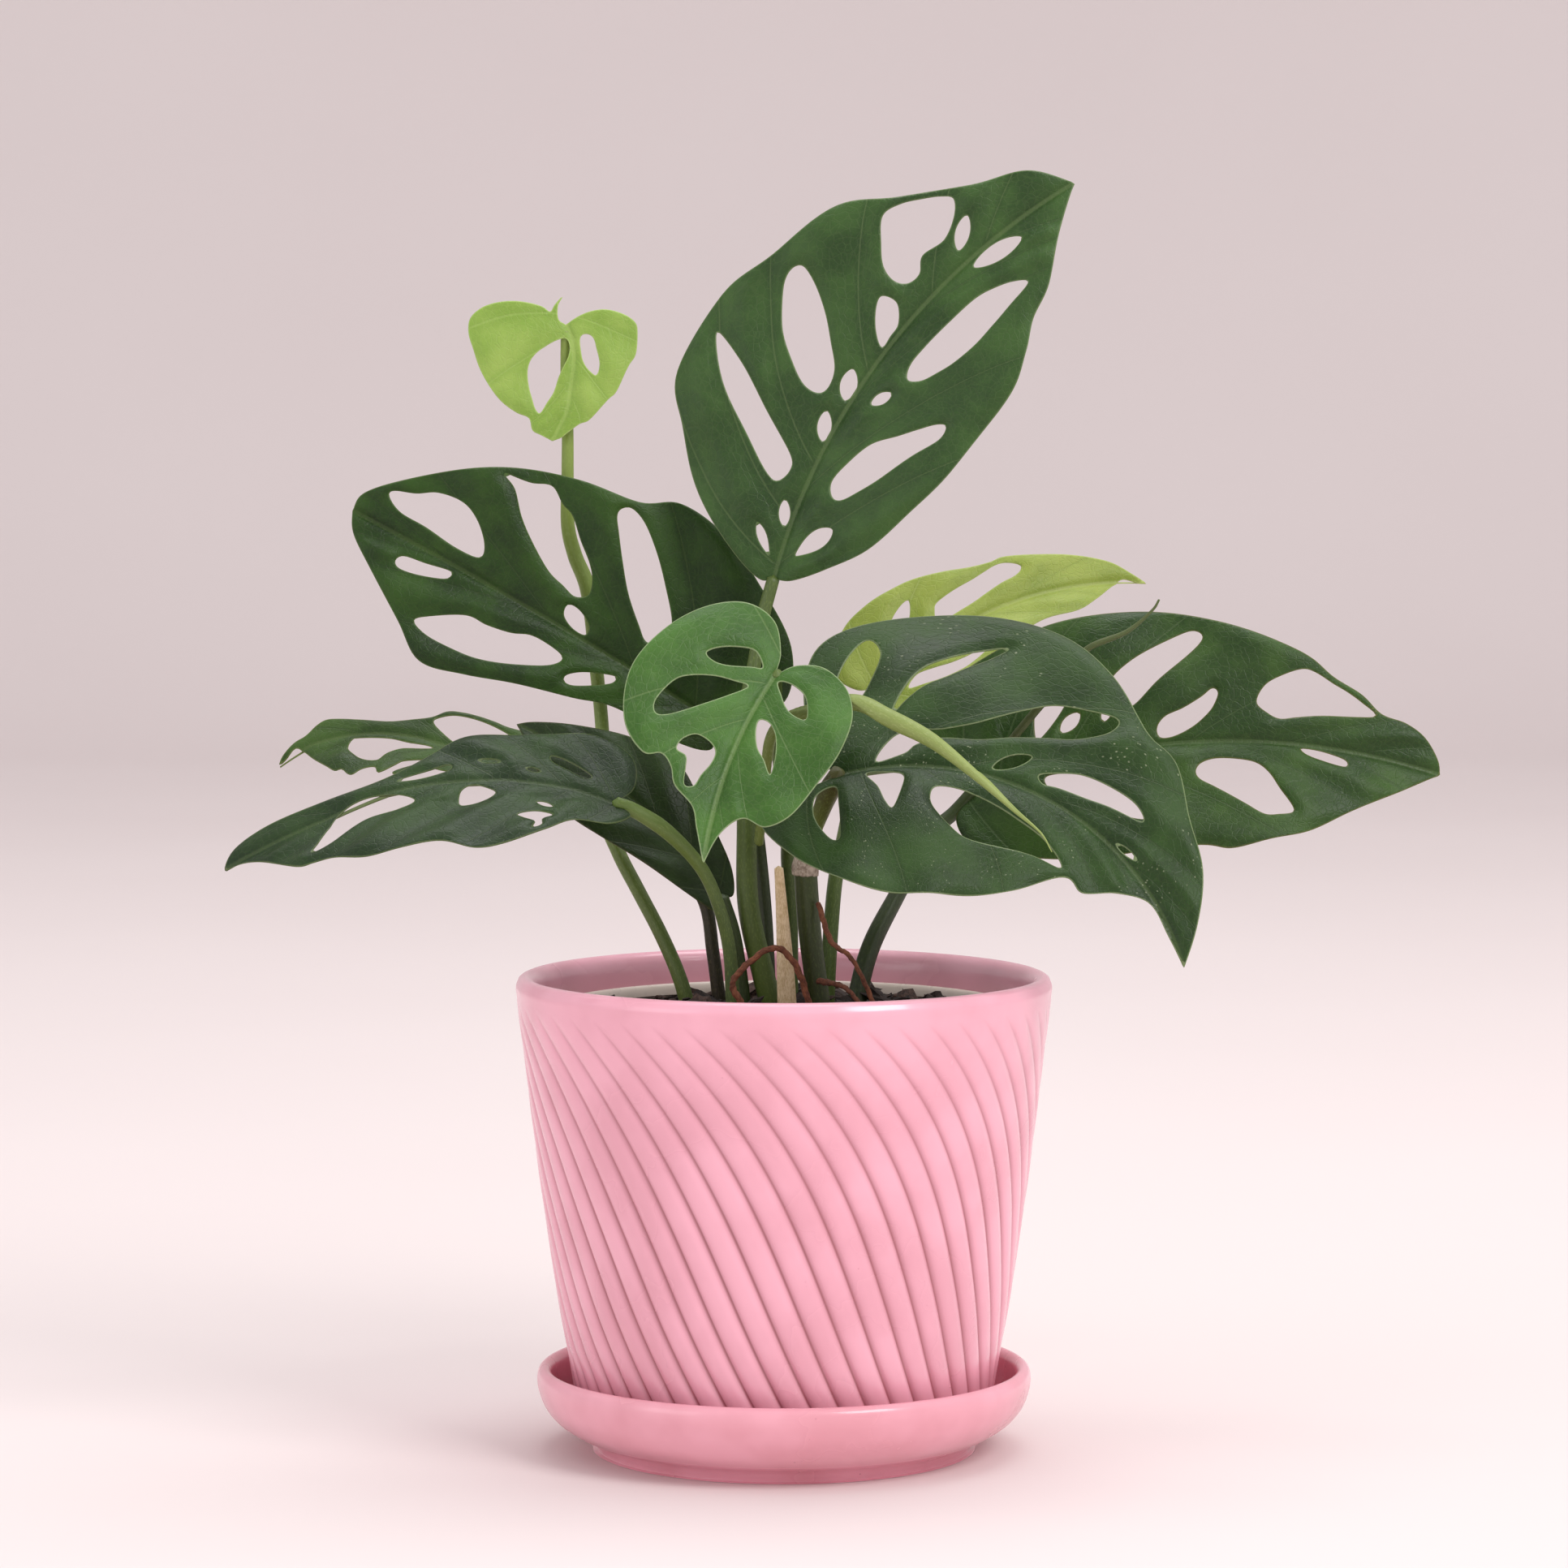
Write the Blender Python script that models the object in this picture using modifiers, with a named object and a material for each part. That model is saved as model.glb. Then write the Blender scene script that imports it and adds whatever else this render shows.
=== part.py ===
"""Potted monstera (Swiss cheese plant) in a round glazed pot on its saucer. Metres, +Z up.

The origin is the centre of the flat underside of the saucer. The plant faces -Y, and +X is to its right.
"""

import math

import bmesh
import bpy
import numpy as np
from mathutils import Vector

for old in list(bpy.data.objects):
    bpy.data.objects.remove(old, do_unlink=True)

MM = 0.001

# Driving dimensions, in millimetres.
TURN_STEPS = 48  # facets round each turned piece
FIT_GAP = 0.4  # clear gap kept between pieces that rest on or in each other
SAUCER_FLOOR = 5.0  # height of the saucer's inner floor
POT_FOOT = SAUCER_FLOOR + FIT_GAP  # underside of the pot
POT_FLOOR = 11.0  # inner floor of the pot
LINER_FOOT = POT_FLOOR + FIT_GAP  # underside of the nursery pot
LINER_FLOOR = 13.2
SOIL_FOOT = LINER_FLOOR + FIT_GAP
SOIL_TOP = 120.5  # crown of the soil
LEAF_THICKNESS = 0.6
SOCKET_DEPTH = 12.0  # how far a stem stands in the soil

model = bpy.data.collections.new("potted_monstera")
cutters = bpy.data.collections.new("cutters")
bpy.context.scene.collection.children.link(model)
bpy.context.scene.collection.children.link(cutters)
cutters.hide_render = True


def material(name, colour, roughness):
    """A plain Principled material in one linear colour."""
    made = bpy.data.materials.new(name)
    made.use_nodes = True
    shader = made.node_tree.nodes["Principled BSDF"]
    shader.inputs["Base Color"].default_value = (*colour, 1.0)
    shader.inputs["Roughness"].default_value = roughness
    made.diffuse_color = (*colour, 1.0)
    return made


def place(name, mesh, colour, roughness=0.5):
    """Puts a finished mesh in the model as one named piece with its own material."""
    piece = bpy.data.objects.new(name, mesh)
    mesh.materials.clear()
    mesh.materials.append(material(name, colour, roughness))
    model.objects.link(piece)
    return piece


def turned(name, profile, colour, roughness=0.3, at=(0.0, 0.0, 0.0)):
    """A piece turned about the vertical axis. The profile runs from the inside, over the top and down the outer side."""
    mesh = bpy.data.meshes.new(name)
    points = [(r * MM, 0.0, z * MM) for r, z in profile]
    mesh.from_pydata(points, [(i, i + 1) for i in range(len(points) - 1)], [])
    piece = place(name, mesh, colour, roughness)
    piece.location = Vector(at) * MM
    screw = piece.modifiers.new("turn", "SCREW")
    screw.steps = screw.render_steps = TURN_STEPS
    screw.use_merge_vertices = True
    screw.merge_threshold = 0.00001
    screw.use_smooth_shade = False
    return piece


def rod_mesh(name, path, radii, extra=0.0):
    """A closed rod along a smooth path, tapering through the given radii, with flat ends."""
    curve = bpy.data.curves.new(name, "CURVE")
    curve.dimensions = "3D"
    curve.resolution_u = 2
    curve.bevel_mode = "ROUND"
    curve.bevel_depth = MM
    curve.bevel_resolution = 1
    curve.use_fill_caps = True
    spline = curve.splines.new("BEZIER")
    spline.bezier_points.add(len(path) - 1)
    along = np.linspace(0.0, 1.0, len(path))
    for point, place_at, share in zip(spline.bezier_points, path, along):
        point.co = Vector(place_at) * MM
        point.handle_left_type = point.handle_right_type = "AUTO"
        point.radius = float(np.interp(share, np.linspace(0.0, 1.0, len(radii)), radii)) + extra
    holder = bpy.data.objects.new(name + "_path", curve)
    cutters.objects.link(holder)
    bpy.context.view_layer.update()
    mesh = bpy.data.meshes.new_from_object(holder.evaluated_get(bpy.context.evaluated_depsgraph_get()))
    bpy.data.objects.remove(holder, do_unlink=True)
    shape = bmesh.new()
    shape.from_mesh(mesh)
    bmesh.ops.remove_doubles(shape, verts=shape.verts, dist=0.00001)
    bmesh.ops.recalc_face_normals(shape, faces=shape.faces)
    shape.to_mesh(mesh)
    shape.free()
    mesh.name = name
    return mesh


def smooth_line(points, steps):
    """A Catmull-Rom curve through the points, ends included."""
    p = np.array([2 * np.array(points[0]) - points[1], *points, 2 * np.array(points[-1]) - points[-2]], float)
    out = []
    for i in range(1, len(p) - 2):
        for t in np.arange(steps) / steps:
            out.append(
                0.5 * (2 * p[i] + (p[i + 1] - p[i - 1]) * t
                       + (2 * p[i - 1] - 5 * p[i] + 4 * p[i + 1] - p[i + 2]) * t**2
                       + (3 * p[i] - p[i - 1] - 3 * p[i + 1] + p[i + 2]) * t**3)
            )
    out.append(p[-2])
    return np.array(out)


def outline_of(leaf, steps):
    """The margin of the blade in leaf millimetres, anticlockwise: base, right side, tip, left side."""
    base, tip = (0.0, 0.0), (float(leaf["length"]), 0.0)
    right = smooth_line([base, *leaf["right"], tip], steps)
    left = smooth_line([base, *leaf["left"], tip], steps)
    return np.concatenate([right, left[::-1][1:-1]])


def hole_of(hole, count):
    """An opening from the inner point to the outer point: a lens whose fullest place is set by its last number."""
    u1, v1, u2, v2, width, fullest = hole
    a, b = np.array([u1, v1], float), np.array([u2, v2], float)
    along = (b - a) / np.hypot(*(b - a))
    across = np.array([-along[1], along[0]])
    power = math.log(0.5) / math.log(fullest)
    angle = np.linspace(0.0, math.pi, count // 2 + 1)
    t = 0.5 - 0.5 * np.cos(angle)
    half = 0.5 * width * np.sin(math.pi * t**power) ** 0.75
    upper = a + np.outer(t, b - a) + np.outer(half, across)
    lower = a + np.outer(t, b - a) - np.outer(half, across)
    return np.concatenate([lower, upper[::-1][1:-1]])


def bend_blade(leaf, u, v):
    """Carries flat leaf millimetres (u along the midrib, v to its left) onto the arched, folded blade."""
    length = leaf["length"]
    arch, sweep = np.radians(leaf["arch"]), np.radians(leaf["sweep"])
    g = np.linspace(-60.0, length + 40.0, 4 * int(length + 100) + 1)
    a, b = arch * g / length, sweep * g / length
    forward = np.stack([np.cos(a) * np.cos(b), np.cos(a) * np.sin(b), -np.sin(a)], -1)
    left = np.stack([-np.sin(b), np.cos(b), 0 * b], -1)
    up = np.cross(forward, left)
    spine = np.cumsum(forward, 0) * (g[1] - g[0])
    spine -= spine[np.argmin(np.abs(g))]
    at = lambda table: np.stack([np.interp(u, g, table[:, i]) for i in range(3)], -1)
    side = v >= 0
    fold = np.radians(np.where(side, *leaf["fold"]))
    curl = np.radians(np.where(side, *leaf["curl"])) / 40.0
    end = fold + curl * np.abs(v)
    out = (np.sin(end) - np.sin(fold)) / curl
    lift = (np.cos(fold) - np.cos(end)) / curl
    local = at(spine) + (np.sign(v) * out)[:, None] * at(left) + lift[:, None] * at(up)
    x, y, z = blade_axes(leaf)
    return np.array(leaf["base"], float) + local @ np.stack([x, y, z])


def blade_axes(leaf):
    """The directions along the midrib, to its left and out of the upper side, at the base of the blade."""
    heading, pitch, roll = np.radians(leaf["turn"])
    x = np.array([np.cos(heading) * np.cos(pitch), np.sin(heading) * np.cos(pitch), np.sin(pitch)])
    y0 = np.array([-np.sin(heading), np.cos(heading), 0.0])
    z0 = np.cross(x, y0)
    return x, np.cos(roll) * y0 + np.sin(roll) * z0, -np.sin(roll) * y0 + np.cos(roll) * z0


def blade(name, leaf, colour):
    """A leaf blade: a filled flat outline with its openings, ruled, bent to shape and given thickness."""
    curve = bpy.data.curves.new(name, "CURVE")
    curve.dimensions = "2D"
    curve.fill_mode = "BOTH"
    for ring in [outline_of(leaf, 1)] + [hole_of(h, 8) for h in leaf["holes"] if h[4] >= 3.5]:
        spline = curve.splines.new("POLY")
        spline.points.add(len(ring) - 1)
        for point, (u, v) in zip(spline.points, ring):
            point.co = (u, v, 0.0, 1.0)
        spline.use_cyclic_u = True
    holder = bpy.data.objects.new(name + "_outline", curve)
    cutters.objects.link(holder)
    bpy.context.view_layer.update()
    mesh = bpy.data.meshes.new_from_object(holder.evaluated_get(bpy.context.evaluated_depsgraph_get()))
    bpy.data.objects.remove(holder, do_unlink=True)
    shape = bmesh.new()
    shape.from_mesh(mesh)
    bmesh.ops.remove_doubles(shape, verts=shape.verts, dist=0.02)
    rules = [((u, 0, 0), (1, 0, 0)) for u in np.arange(-18.0, leaf["length"], 18.0)]
    rules += [((0, v, 0), (0, 1, 0)) for v in (-24.0, 0.0, 24.0)]
    for where, normal in rules:
        everything = shape.verts[:] + shape.edges[:] + shape.faces[:]
        bmesh.ops.bisect_plane(shape, geom=everything, dist=0.05, plane_co=where, plane_no=normal)
    bmesh.ops.triangulate(shape, faces=shape.faces)
    flat = np.array([v.co[:] for v in shape.verts])
    bent = bend_blade(leaf, flat[:, 0], flat[:, 1]) * MM
    for vertex, co in zip(shape.verts, bent):
        vertex.co = co
    bmesh.ops.recalc_face_normals(shape, faces=shape.faces)
    shape.to_mesh(mesh)
    shape.free()
    piece = place(name, mesh, colour, 0.45)
    thick = piece.modifiers.new("thickness", "SOLIDIFY")
    thick.thickness = LEAF_THICKNESS * MM
    thick.offset = 0.0
    return piece


# ---------------------------------------------------------------- saucer, pot, nursery pot and soil
turned(
    "saucer",
    [(0, SAUCER_FLOOR), (57, SAUCER_FLOOR), (61, 6.5), (63.8, 10), (65, 15), (65.3, 20.5), (66, 22.8),
     (67.5, 23.6), (69, 22.9), (69.7, 20.5), (69.2, 17), (67.3, 12.3), (64, 8.6), (58, 4.8), (53.5, 3),
     (53, 1), (52.3, 0), (0, 0)],
    (0.78, 0.36, 0.42),
)
turned(
    "pot",
    [(0, POT_FLOOR), (50, POT_FLOOR), (53.5, 13), (55.3, 25), (58.8, 45), (63.2, 75), (68.4, 118),
     (69.2, 127), (69.6, 131), (71, 133.4), (72.8, 134.2), (74.5, 133.3), (75.4, 131), (75.2, 128.5),
     (74.8, 125), (68.3, 75), (63.9, 45), (60.3, 25), (57.4, 8.5), (56.2, POT_FOOT), (0, POT_FOOT)],
    (0.85, 0.42, 0.52),
)
turned(
    "nursery_pot",
    [(0, LINER_FLOOR), (46.5, LINER_FLOOR), (48, 14), (50.5, 30), (62.6, 117), (63.3, 123.5),
     (64.2, 125.2), (65.4, 125.4), (66.3, 124.4), (66.3, 121.5), (65.3, 120.6), (64.2, 117),
     (52, 30), (49.8, 13.2), (48.6, LINER_FOOT), (0, LINER_FOOT)],
    (0.58, 0.47, 0.42),
    0.35,
)
soil = turned(
    "soil",
    [(0, SOIL_TOP), (25, 120.3), (45, 119.3), (58, 118), (61.2, 116.8), (61.6, 115), (49.9, 30.5),
     (46.2, 14.8), (45.2, SOIL_FOOT), (0, SOIL_FOOT)],
    (0.02, 0.012, 0.01),
    0.95,
)

# ---------------------------------------------------------------- stems, stalks and roots
# Each path runs upwards from the soil (or the stem it springs from), with radii from foot to top.
GREEN, DARK, PALE, BROWN = (0.10, 0.19, 0.03), (0.03, 0.06, 0.01), (0.20, 0.30, 0.06), (0.12, 0.05, 0.02)
FOOT = SOIL_TOP - SOCKET_DEPTH
ROOTED = {
    "vine_stem": (
        [(-25, 5, FOOT), (-27, 5, 124), (-30, 6, 134), (-35, 9, 145), (-41, 13, 156), (-47, 18, 167),
         (-51, 23, 178), (-52, 31, 201), (-54, 37, 220), (-56, 38, 240), (-60, 38, 251), (-62, 38, 260),
         (-62, 38, 274), (-62, 39, 288), (-62.5, 40.5, 303), (-62.5, 41, 315)],
        [2.2, 2.1, 2.0, 1.8, 1.3], PALE),
    "stalk_left_back_low": (
        [(-17, 8, FOOT), (-18, 8, 123), (-20, 8, 139), (-23, 8, 155), (-34, 9, 167), (-47, 11, 178),
         (-59, 13, 186)],
        [1.8, 1.8, 1.6, 1.3], DARK),
    "stalk_left_front": (
        [(-13, -24, FOOT), (-14, -24, 126), (-15, -25, 143), (-18, -27, 156), (-23, -29, 167),
         (-32, -33, 177), (-41, -34, 182), (-46, -34, 183)],
        [2.1, 2.0, 1.9, 1.5], GREEN),
    "stalk_edge_on": (
        [(-10, -10, FOOT), (-11, -10, 124), (-12, -10, 134), (-14, -11, 147), (-16.5, -11, 154.5)],
        [2.0, 1.8, 1.5], DARK),
    "stalk_tall": (
        [(-2, -8, FOOT), (-3, -8, 124), (-6, -8, 136), (-10, -8, 155), (-10.5, -5, 177), (-11, -2, 192),
         (-11, 2, 207), (-8, 6, 223), (-6, 9, 234), (-3.5, 12.5, 243.5)],
        [3.2, 3.1, 2.9, 2.4, 1.7], PALE),
    "stalk_left_back": (
        [(-4, 4, FOOT), (-4, 4, 122), (-5, 5, 148), (-7, 7, 170), (-9, 12, 181), (-14, 22, 194),
         (-21.5, 30.5, 203.5)],
        [1.9, 1.8, 1.7, 1.4], DARK),
    "stalk_front": (
        [(2, 12, FOOT), (2, 12, 122), (2, 12, 147), (1, 9, 166), (1, 4, 174), (-1, -12, 190),
         (-2, -28, 208), (-2, -36.5, 218.5)],
        [2.0, 2.0, 1.8, 1.4], GREEN),
    "dead_stub": (
        [(1, -22, FOOT), (1, -22, 125), (0, -22, 145), (-1.5, -22, 166)],
        [2.7, 2.4, 1.9, 1.3], (0.62, 0.44, 0.25)),
    "cane_right_front": (
        [(10.5, -15, FOOT), (10, -15, 125), (7.5, -15, 145), (6.5, -15, 157), (6, -15, 164)],
        [3.2, 3.1, 3.0], DARK),
    "stalk_pale": (
        [(12, 9, FOOT), (12, 9, 123), (13, 10, 142), (14.5, 14, 159), (17, 21, 171), (20, 30, 184),
         (25, 45, 200), (28.5, 57, 210)],
        [2.2, 2.1, 1.9, 1.5], GREEN),
    "stalk_right_back": (
        [(20, 2, FOOT), (20, 2, 123), (24, 6, 140), (32, 15, 155), (42, 28, 171), (49, 33, 177.5),
         (53, 35.5, 181.5)],
        [2.7, 2.6, 2.3, 1.8], DARK),
}
for name, (path, radii, colour) in ROOTED.items():
    place(name, rod_mesh(name, path, radii), colour)
    socket = bpy.data.objects.new(name + "_socket", rod_mesh(name + "_socket", [
        tuple(np.array(path[0]) - (np.array(path[1]) - path[0]) / 12 * FIT_GAP), *path[:3]],
        [radii[0], radii[0]], FIT_GAP))
    socket.display_type = "WIRE"
    cutters.objects.link(socket)
    cut = soil.modifiers.new(name, "BOOLEAN")
    cut.operation = "DIFFERENCE"
    cut.solver = "EXACT"
    cut.object = socket

SPRUNG = {
    "stalk_right_front": (
        [(6, -15, 165.2), (6.3, -15.3, 170), (8, -17, 175), (10, -21, 181), (12.5, -27, 188), (14.5, -30.5, 191)],
        [1.8, 1.9, 1.5], PALE),
    "rolled_leaf": (
        [(-7, -11.5, 173), (-6, -16, 180), (-5, -25, 190), (-4, -33, 202), (0, -37, 208), (8, -39, 210.5),
         (19, -44, 213), (28, -49, 209.5), (40, -53, 203.5), (52, -57, 194), (62, -60, 185), (69, -62, 179),
         (72, -63, 174)],
        [1.3, 1.4, 1.6, 2.3, 2.4, 2.0, 1.1, 0.35], PALE),
    "rolled_leaf_back": (
        [(55.5, 25.5, 187), (60, 22, 193), (71, 18, 207), (79, 17, 216), (86, 16, 225), (97, 15, 230),
         (104, 14, 236), (106, 14, 239)],
        [0.9, 1.1, 1.2, 1.0, 0.35], DARK),
    "aerial_root_loop": (
        [(-9, -34, 120.3), (-11, -35, 128), (-14, -36, 135), (-11, -37, 140), (-3, -38, 145.5), (3, -38, 141),
         (7, -36, 129), (8, -35, 120.3)],
        [0.8, 0.8, 0.9, 0.8], BROWN),
    "aerial_root_long": (
        [(26, -31, 120.3), (25, -30, 128), (19, -28, 141), (13, -24, 146), (9.5, -18.6, 156)],
        [0.6, 0.7, 0.8], BROWN),
    "aerial_root_short": (
        [(24, -36, 120.2), (22, -34, 127), (17, -30, 133.5), (9.6, -20, 134.5)],
        [0.6, 0.8, 0.9], BROWN),
}
for name, (path, radii, colour) in SPRUNG.items():
    place(name, rod_mesh(name, path, radii), colour)
# The papery collar left on the cane where the front right stalk springs from it.
turned(
    "node_sheath",
    [(2.5, 0.0), (2.5, 3.4), (2.8, 4.2), (3.3, 3.6), (3.6, 2.0), (3.4, 0.0), (2.5, 0.0)],
    (0.16, 0.11, 0.08), 0.8, at=(6.1, -15.1, 164.9),
)

# ---------------------------------------------------------------- leaf blades
# base: where the stalk meets the blade. turn: heading, rise and roll of the midrib there, in degrees.
# arch and sweep: how far the midrib bends down and sideways by the tip. fold and curl: of the left and
# right halves. left, right: margin points (along the midrib, across it), in leaf millimetres.
# holes: inner point, outer point, width and where the opening is fullest.
LEAVES = {
    "leaf_tall": dict(
        base=(-3, 10, 245), turn=(4, 75, 67), arch=12, sweep=-43, length=143, fold=(12, 12), curl=(-15, -15),
        left=[(-1, 4), (4, 13), (17, 30), (29, 40), (40, 49), (60, 49), (74, 43), (92, 38), (104, 27), (120, 16),
              (134, 10)],
        right=[(1, -6), (7, -15), (17, -25), (33, -32), (50, -37), (70, -38), (88, -37), (100, -32), (109, -26),
               (120, -21), (132, -10)],
        holes=[(27, 6, 51, 44, 8, 0.55), (52, 8, 75, 34, 12, 0.55), (87, 9, 102, 24, 13, 0.65),
               (73, 3, 84, 12, 6, 0.5), (54, 2, 62, 7, 4, 0.5), (41, 1, 48, 5, 3.5, 0.5), (15, 1.5, 21, 4, 3, 0.5),
               (6, 3, 13, 9, 2.5, 0.5), (106, 4, 113, 10, 4, 0.5), (106, -3, 121, -6, 4.5, 0.5),
               (69, -11, 113, -20, 7.5, 0.5), (27, -8, 64, -27, 8, 0.5), (57, -6, 62, -10, 3, 0.5),
               (8, -5, 18, -13, 4, 0.5)]),
    "leaf_left_back": dict(
        base=(-22, 28, 205), turn=(189, 33, -88), arch=20, sweep=4, length=118, fold=(12, 12), curl=(-15, -15),
        left=[(-6, 7), (4, 11), (24, 12), (36, 16), (52, 21), (66, 26), (79, 29), (90, 22), (104, 13), (114, 6)],
        right=[(-7, -6), (-16, -16), (-9, -30), (8, -40), (24, -47), (38, -48), (48, -42), (65, -39), (80, -34),
               (94, -26), (108, -15), (117, -6)],
        holes=[(78, -5, 107, -9, 9, 0.6), (47, -10, 78, -29, 12, 0.6), (25, -12, 48, -38, 10, 0.5),
               (42, -3, 50, -7, 6, 0.5), (82, 3, 99, 6, 4.5, 0.5), (44, 8, 82, 19, 7.5, 0.5),
               (26, 4, 38, 10, 3.5, 0.5)]),
    "leaf_front": dict(
        base=(-2, -40, 221), turn=(223, -45, -40), arch=10, sweep=24, length=60, fold=(12, 12), curl=(-15, -15),
        left=[(-5, 4), (-8, 11), (-5, 20), (4, 26), (17, 27.5), (30, 25), (42, 21), (47.5, 15), (46, 8.5), (51, 3.5)],
        right=[(-6, -2.5), (-12, -9), (-12, -18), (-6, -26), (4, -32), (17, -35), (29, -31), (35.5, -23),
               (35, -17), (39, -12), (45, -6), (53, -2.5)],
        holes=[(1, -3.5, 4, -18, 6, 0.5), (8, -4, 21, -22, 9, 0.6), (24, -5.5, 34, -13, 9, 0.6),
               (2.5, 3, 10, 14, 7, 0.6), (15, 6, 31, 10, 5.5, 0.45)]),
    "leaf_right_front": dict(
        base=(15, -34, 193), turn=(1, 14, 43), arch=30, sweep=-87, length=121, fold=(8, 8), curl=(-12, -12),
        left=[(-4, 6), (-4, 20), (-2, 36), (3, 49), (14, 56), (29, 58), (44, 54), (55, 46), (65, 36), (70, 32.5),
              (77, 31), (88, 22), (100, 16), (111, 8)],
        right=[(-9, -2), (-20, -3), (-27, -8), (-24, -26), (-13, -38), (4, -45), (31, -46), (56, -40), (71, -31),
               (80, -17), (88, -16), (94, -8), (101, -1.5), (111, -1)],
        holes=[(7, 23, 12, 44, 6, 0.6), (16, 17, 35, 44, 6, 0.45), (13, 4, 64, 29, 8, 0.6), (44, 3, 51, 8, 4, 0.5),
               (56, 5.5, 86, 16, 8, 0.6), (75, 0.5, 88, 2, 2, 0.5), (13, -4.5, 14, -18, 7, 0.35),
               (30, -13, 76, -17, 9.5, 0.35), (-2, -5, -5, -22, 6, 0.6)]),
    "leaf_right_back": dict(
        base=(54, 32, 183), turn=(-9, 24, 63), arch=30, sweep=-34, length=137, fold=(12, 12), curl=(-15, -15),
        left=[(-7, 7), (-8, 20), (4, 34), (22, 40), (38, 42), (56, 41), (73, 36), (90, 29), (103, 20), (118, 11),
              (130, 6)],
        right=[(-7, -6), (-5, -17), (6, -25), (22, -31), (42, -34), (66, -33), (76, -34), (88, -31), (100, -27),
               (112, -19), (125, -10)],
        holes=[(48, 12, 67, 32, 8, 0.6), (55, 3, 72, 15, 7, 0.5), (83, 6, 105, 16, 9, 0.55),
               (95, -2, 109, -5, 3.5, 0.5), (65, -8, 93, -22, 9.5, 0.5), (41, 9, 43, 13, 2.5, 0.5),
               (22, 8, 36, 31, 7, 0.55), (28, -6, 52, -23, 7, 0.5)]),
    "leaf_pale": dict(
        base=(29, 56, 212.5), turn=(24, 43, 50), arch=20, sweep=-44, length=90, fold=(12, 12), curl=(-15, -15),
        left=[(-6, 5), (-6, 14), (4, 20), (18, 21.5), (32, 18.5), (45, 15.5), (58, 13.5), (72, 9.5), (83, 4)],
        right=[(-6, -5), (-5, -14), (6, -18), (22, -17), (36, -14), (52, -11), (65, -9), (77, -4.5)],
        holes=[(28, 5, 53, 10, 6, 0.55), (8, 5, 22, 15, 5, 0.5), (20, -4, 38, -10, 4, 0.5)]),
    "leaf_small": dict(
        base=(-62.5, 38, 317), turn=(230, -74, -39), arch=5, sweep=8, length=34, fold=(5, 5), curl=(-15, -15),
        left=[(-4, 4), (-6, 10), (-5, 18), (0, 21), (8, 21), (16, 17.5), (24, 12), (30, 6)],
        right=[(-2, -6), (-4, -15), (-1, -24), (5, -27), (13, -24), (21, -17.5), (27, -10)],
        holes=[(5, -3, 24, -9, 8, 0.6), (3.5, 4, 13, 11, 4.5, 0.5)]),
    "leaf_left_front": dict(
        base=(-46, -35, 185), turn=(188, 8, -37), arch=35, sweep=12, length=111, fold=(8, 8), curl=(-10, -10),
        left=[(-4, 5), (2, 10), (12, 12), (24, 18), (39, 21.5), (50, 18), (62, 17.5), (74, 17), (86, 14), (96, 9),
              (105, 3)],
        right=[(-5, -7), (-4, -18), (6, -25), (18, -25), (28, -24.5), (40, -24), (52, -17), (64, -12), (80, -9.5),
               (96, -8), (106, -5)],
        holes=[(55, -3, 84, 9, 8, 0.6), (35, -1, 42, 6, 7, 0.5), (53, -8.5, 66, -9, 2.5, 0.5),
               (12, -14, 25, -20, 4, 0.5), (19, 7, 29, 12, 3.5, 0.5)]),
    "leaf_left_back_low": dict(
        base=(-61, 12, 188), turn=(172, 26, -35), arch=35, sweep=33, length=86, fold=(8, 8), curl=(-10, -10),
        left=[(-3, 5), (6, 11), (20, 13), (34, 13), (48, 13), (60, 12), (72, 5)],
        right=[(-3, -6), (6, -13), (20, -16), (35, -15), (50, -13), (68, -12), (79, -6)],
        holes=[(38, 3, 64, 3, 8, 0.55), (18, -8, 40, -8, 7, 0.5)]),
    "leaf_edge_on": dict(
        base=(-17, -12, 157), turn=(166, 53, -53), arch=25, sweep=20, length=79, fold=(8, 8), curl=(-10, -10),
        left=[(-3, 4), (6, 8), (20, 12), (36, 15.5), (50, 16.5), (62, 12), (72, 5)],
        right=[(-1, -3), (5, -7), (14, -10), (24, -13), (37, -17), (50, -14), (64, -8), (74, -3)],
        holes=[]),
}
LEAF_COLOUR = {
    "leaf_tall": (0.06, 0.12, 0.03), "leaf_left_back": (0.03, 0.06, 0.01), "leaf_front": (0.08, 0.15, 0.03),
    "leaf_right_front": (0.03, 0.06, 0.015), "leaf_right_back": (0.05, 0.10, 0.025),
    "leaf_pale": (0.25, 0.33, 0.07), "leaf_small": (0.24, 0.38, 0.07), "leaf_left_front": (0.03, 0.05, 0.015),
    "leaf_left_back_low": (0.04, 0.08, 0.02), "leaf_edge_on": (0.02, 0.04, 0.01),
}
for name, leaf in LEAVES.items():
    blade(name, leaf, LEAF_COLOUR[name])
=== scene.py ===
import math

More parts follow.
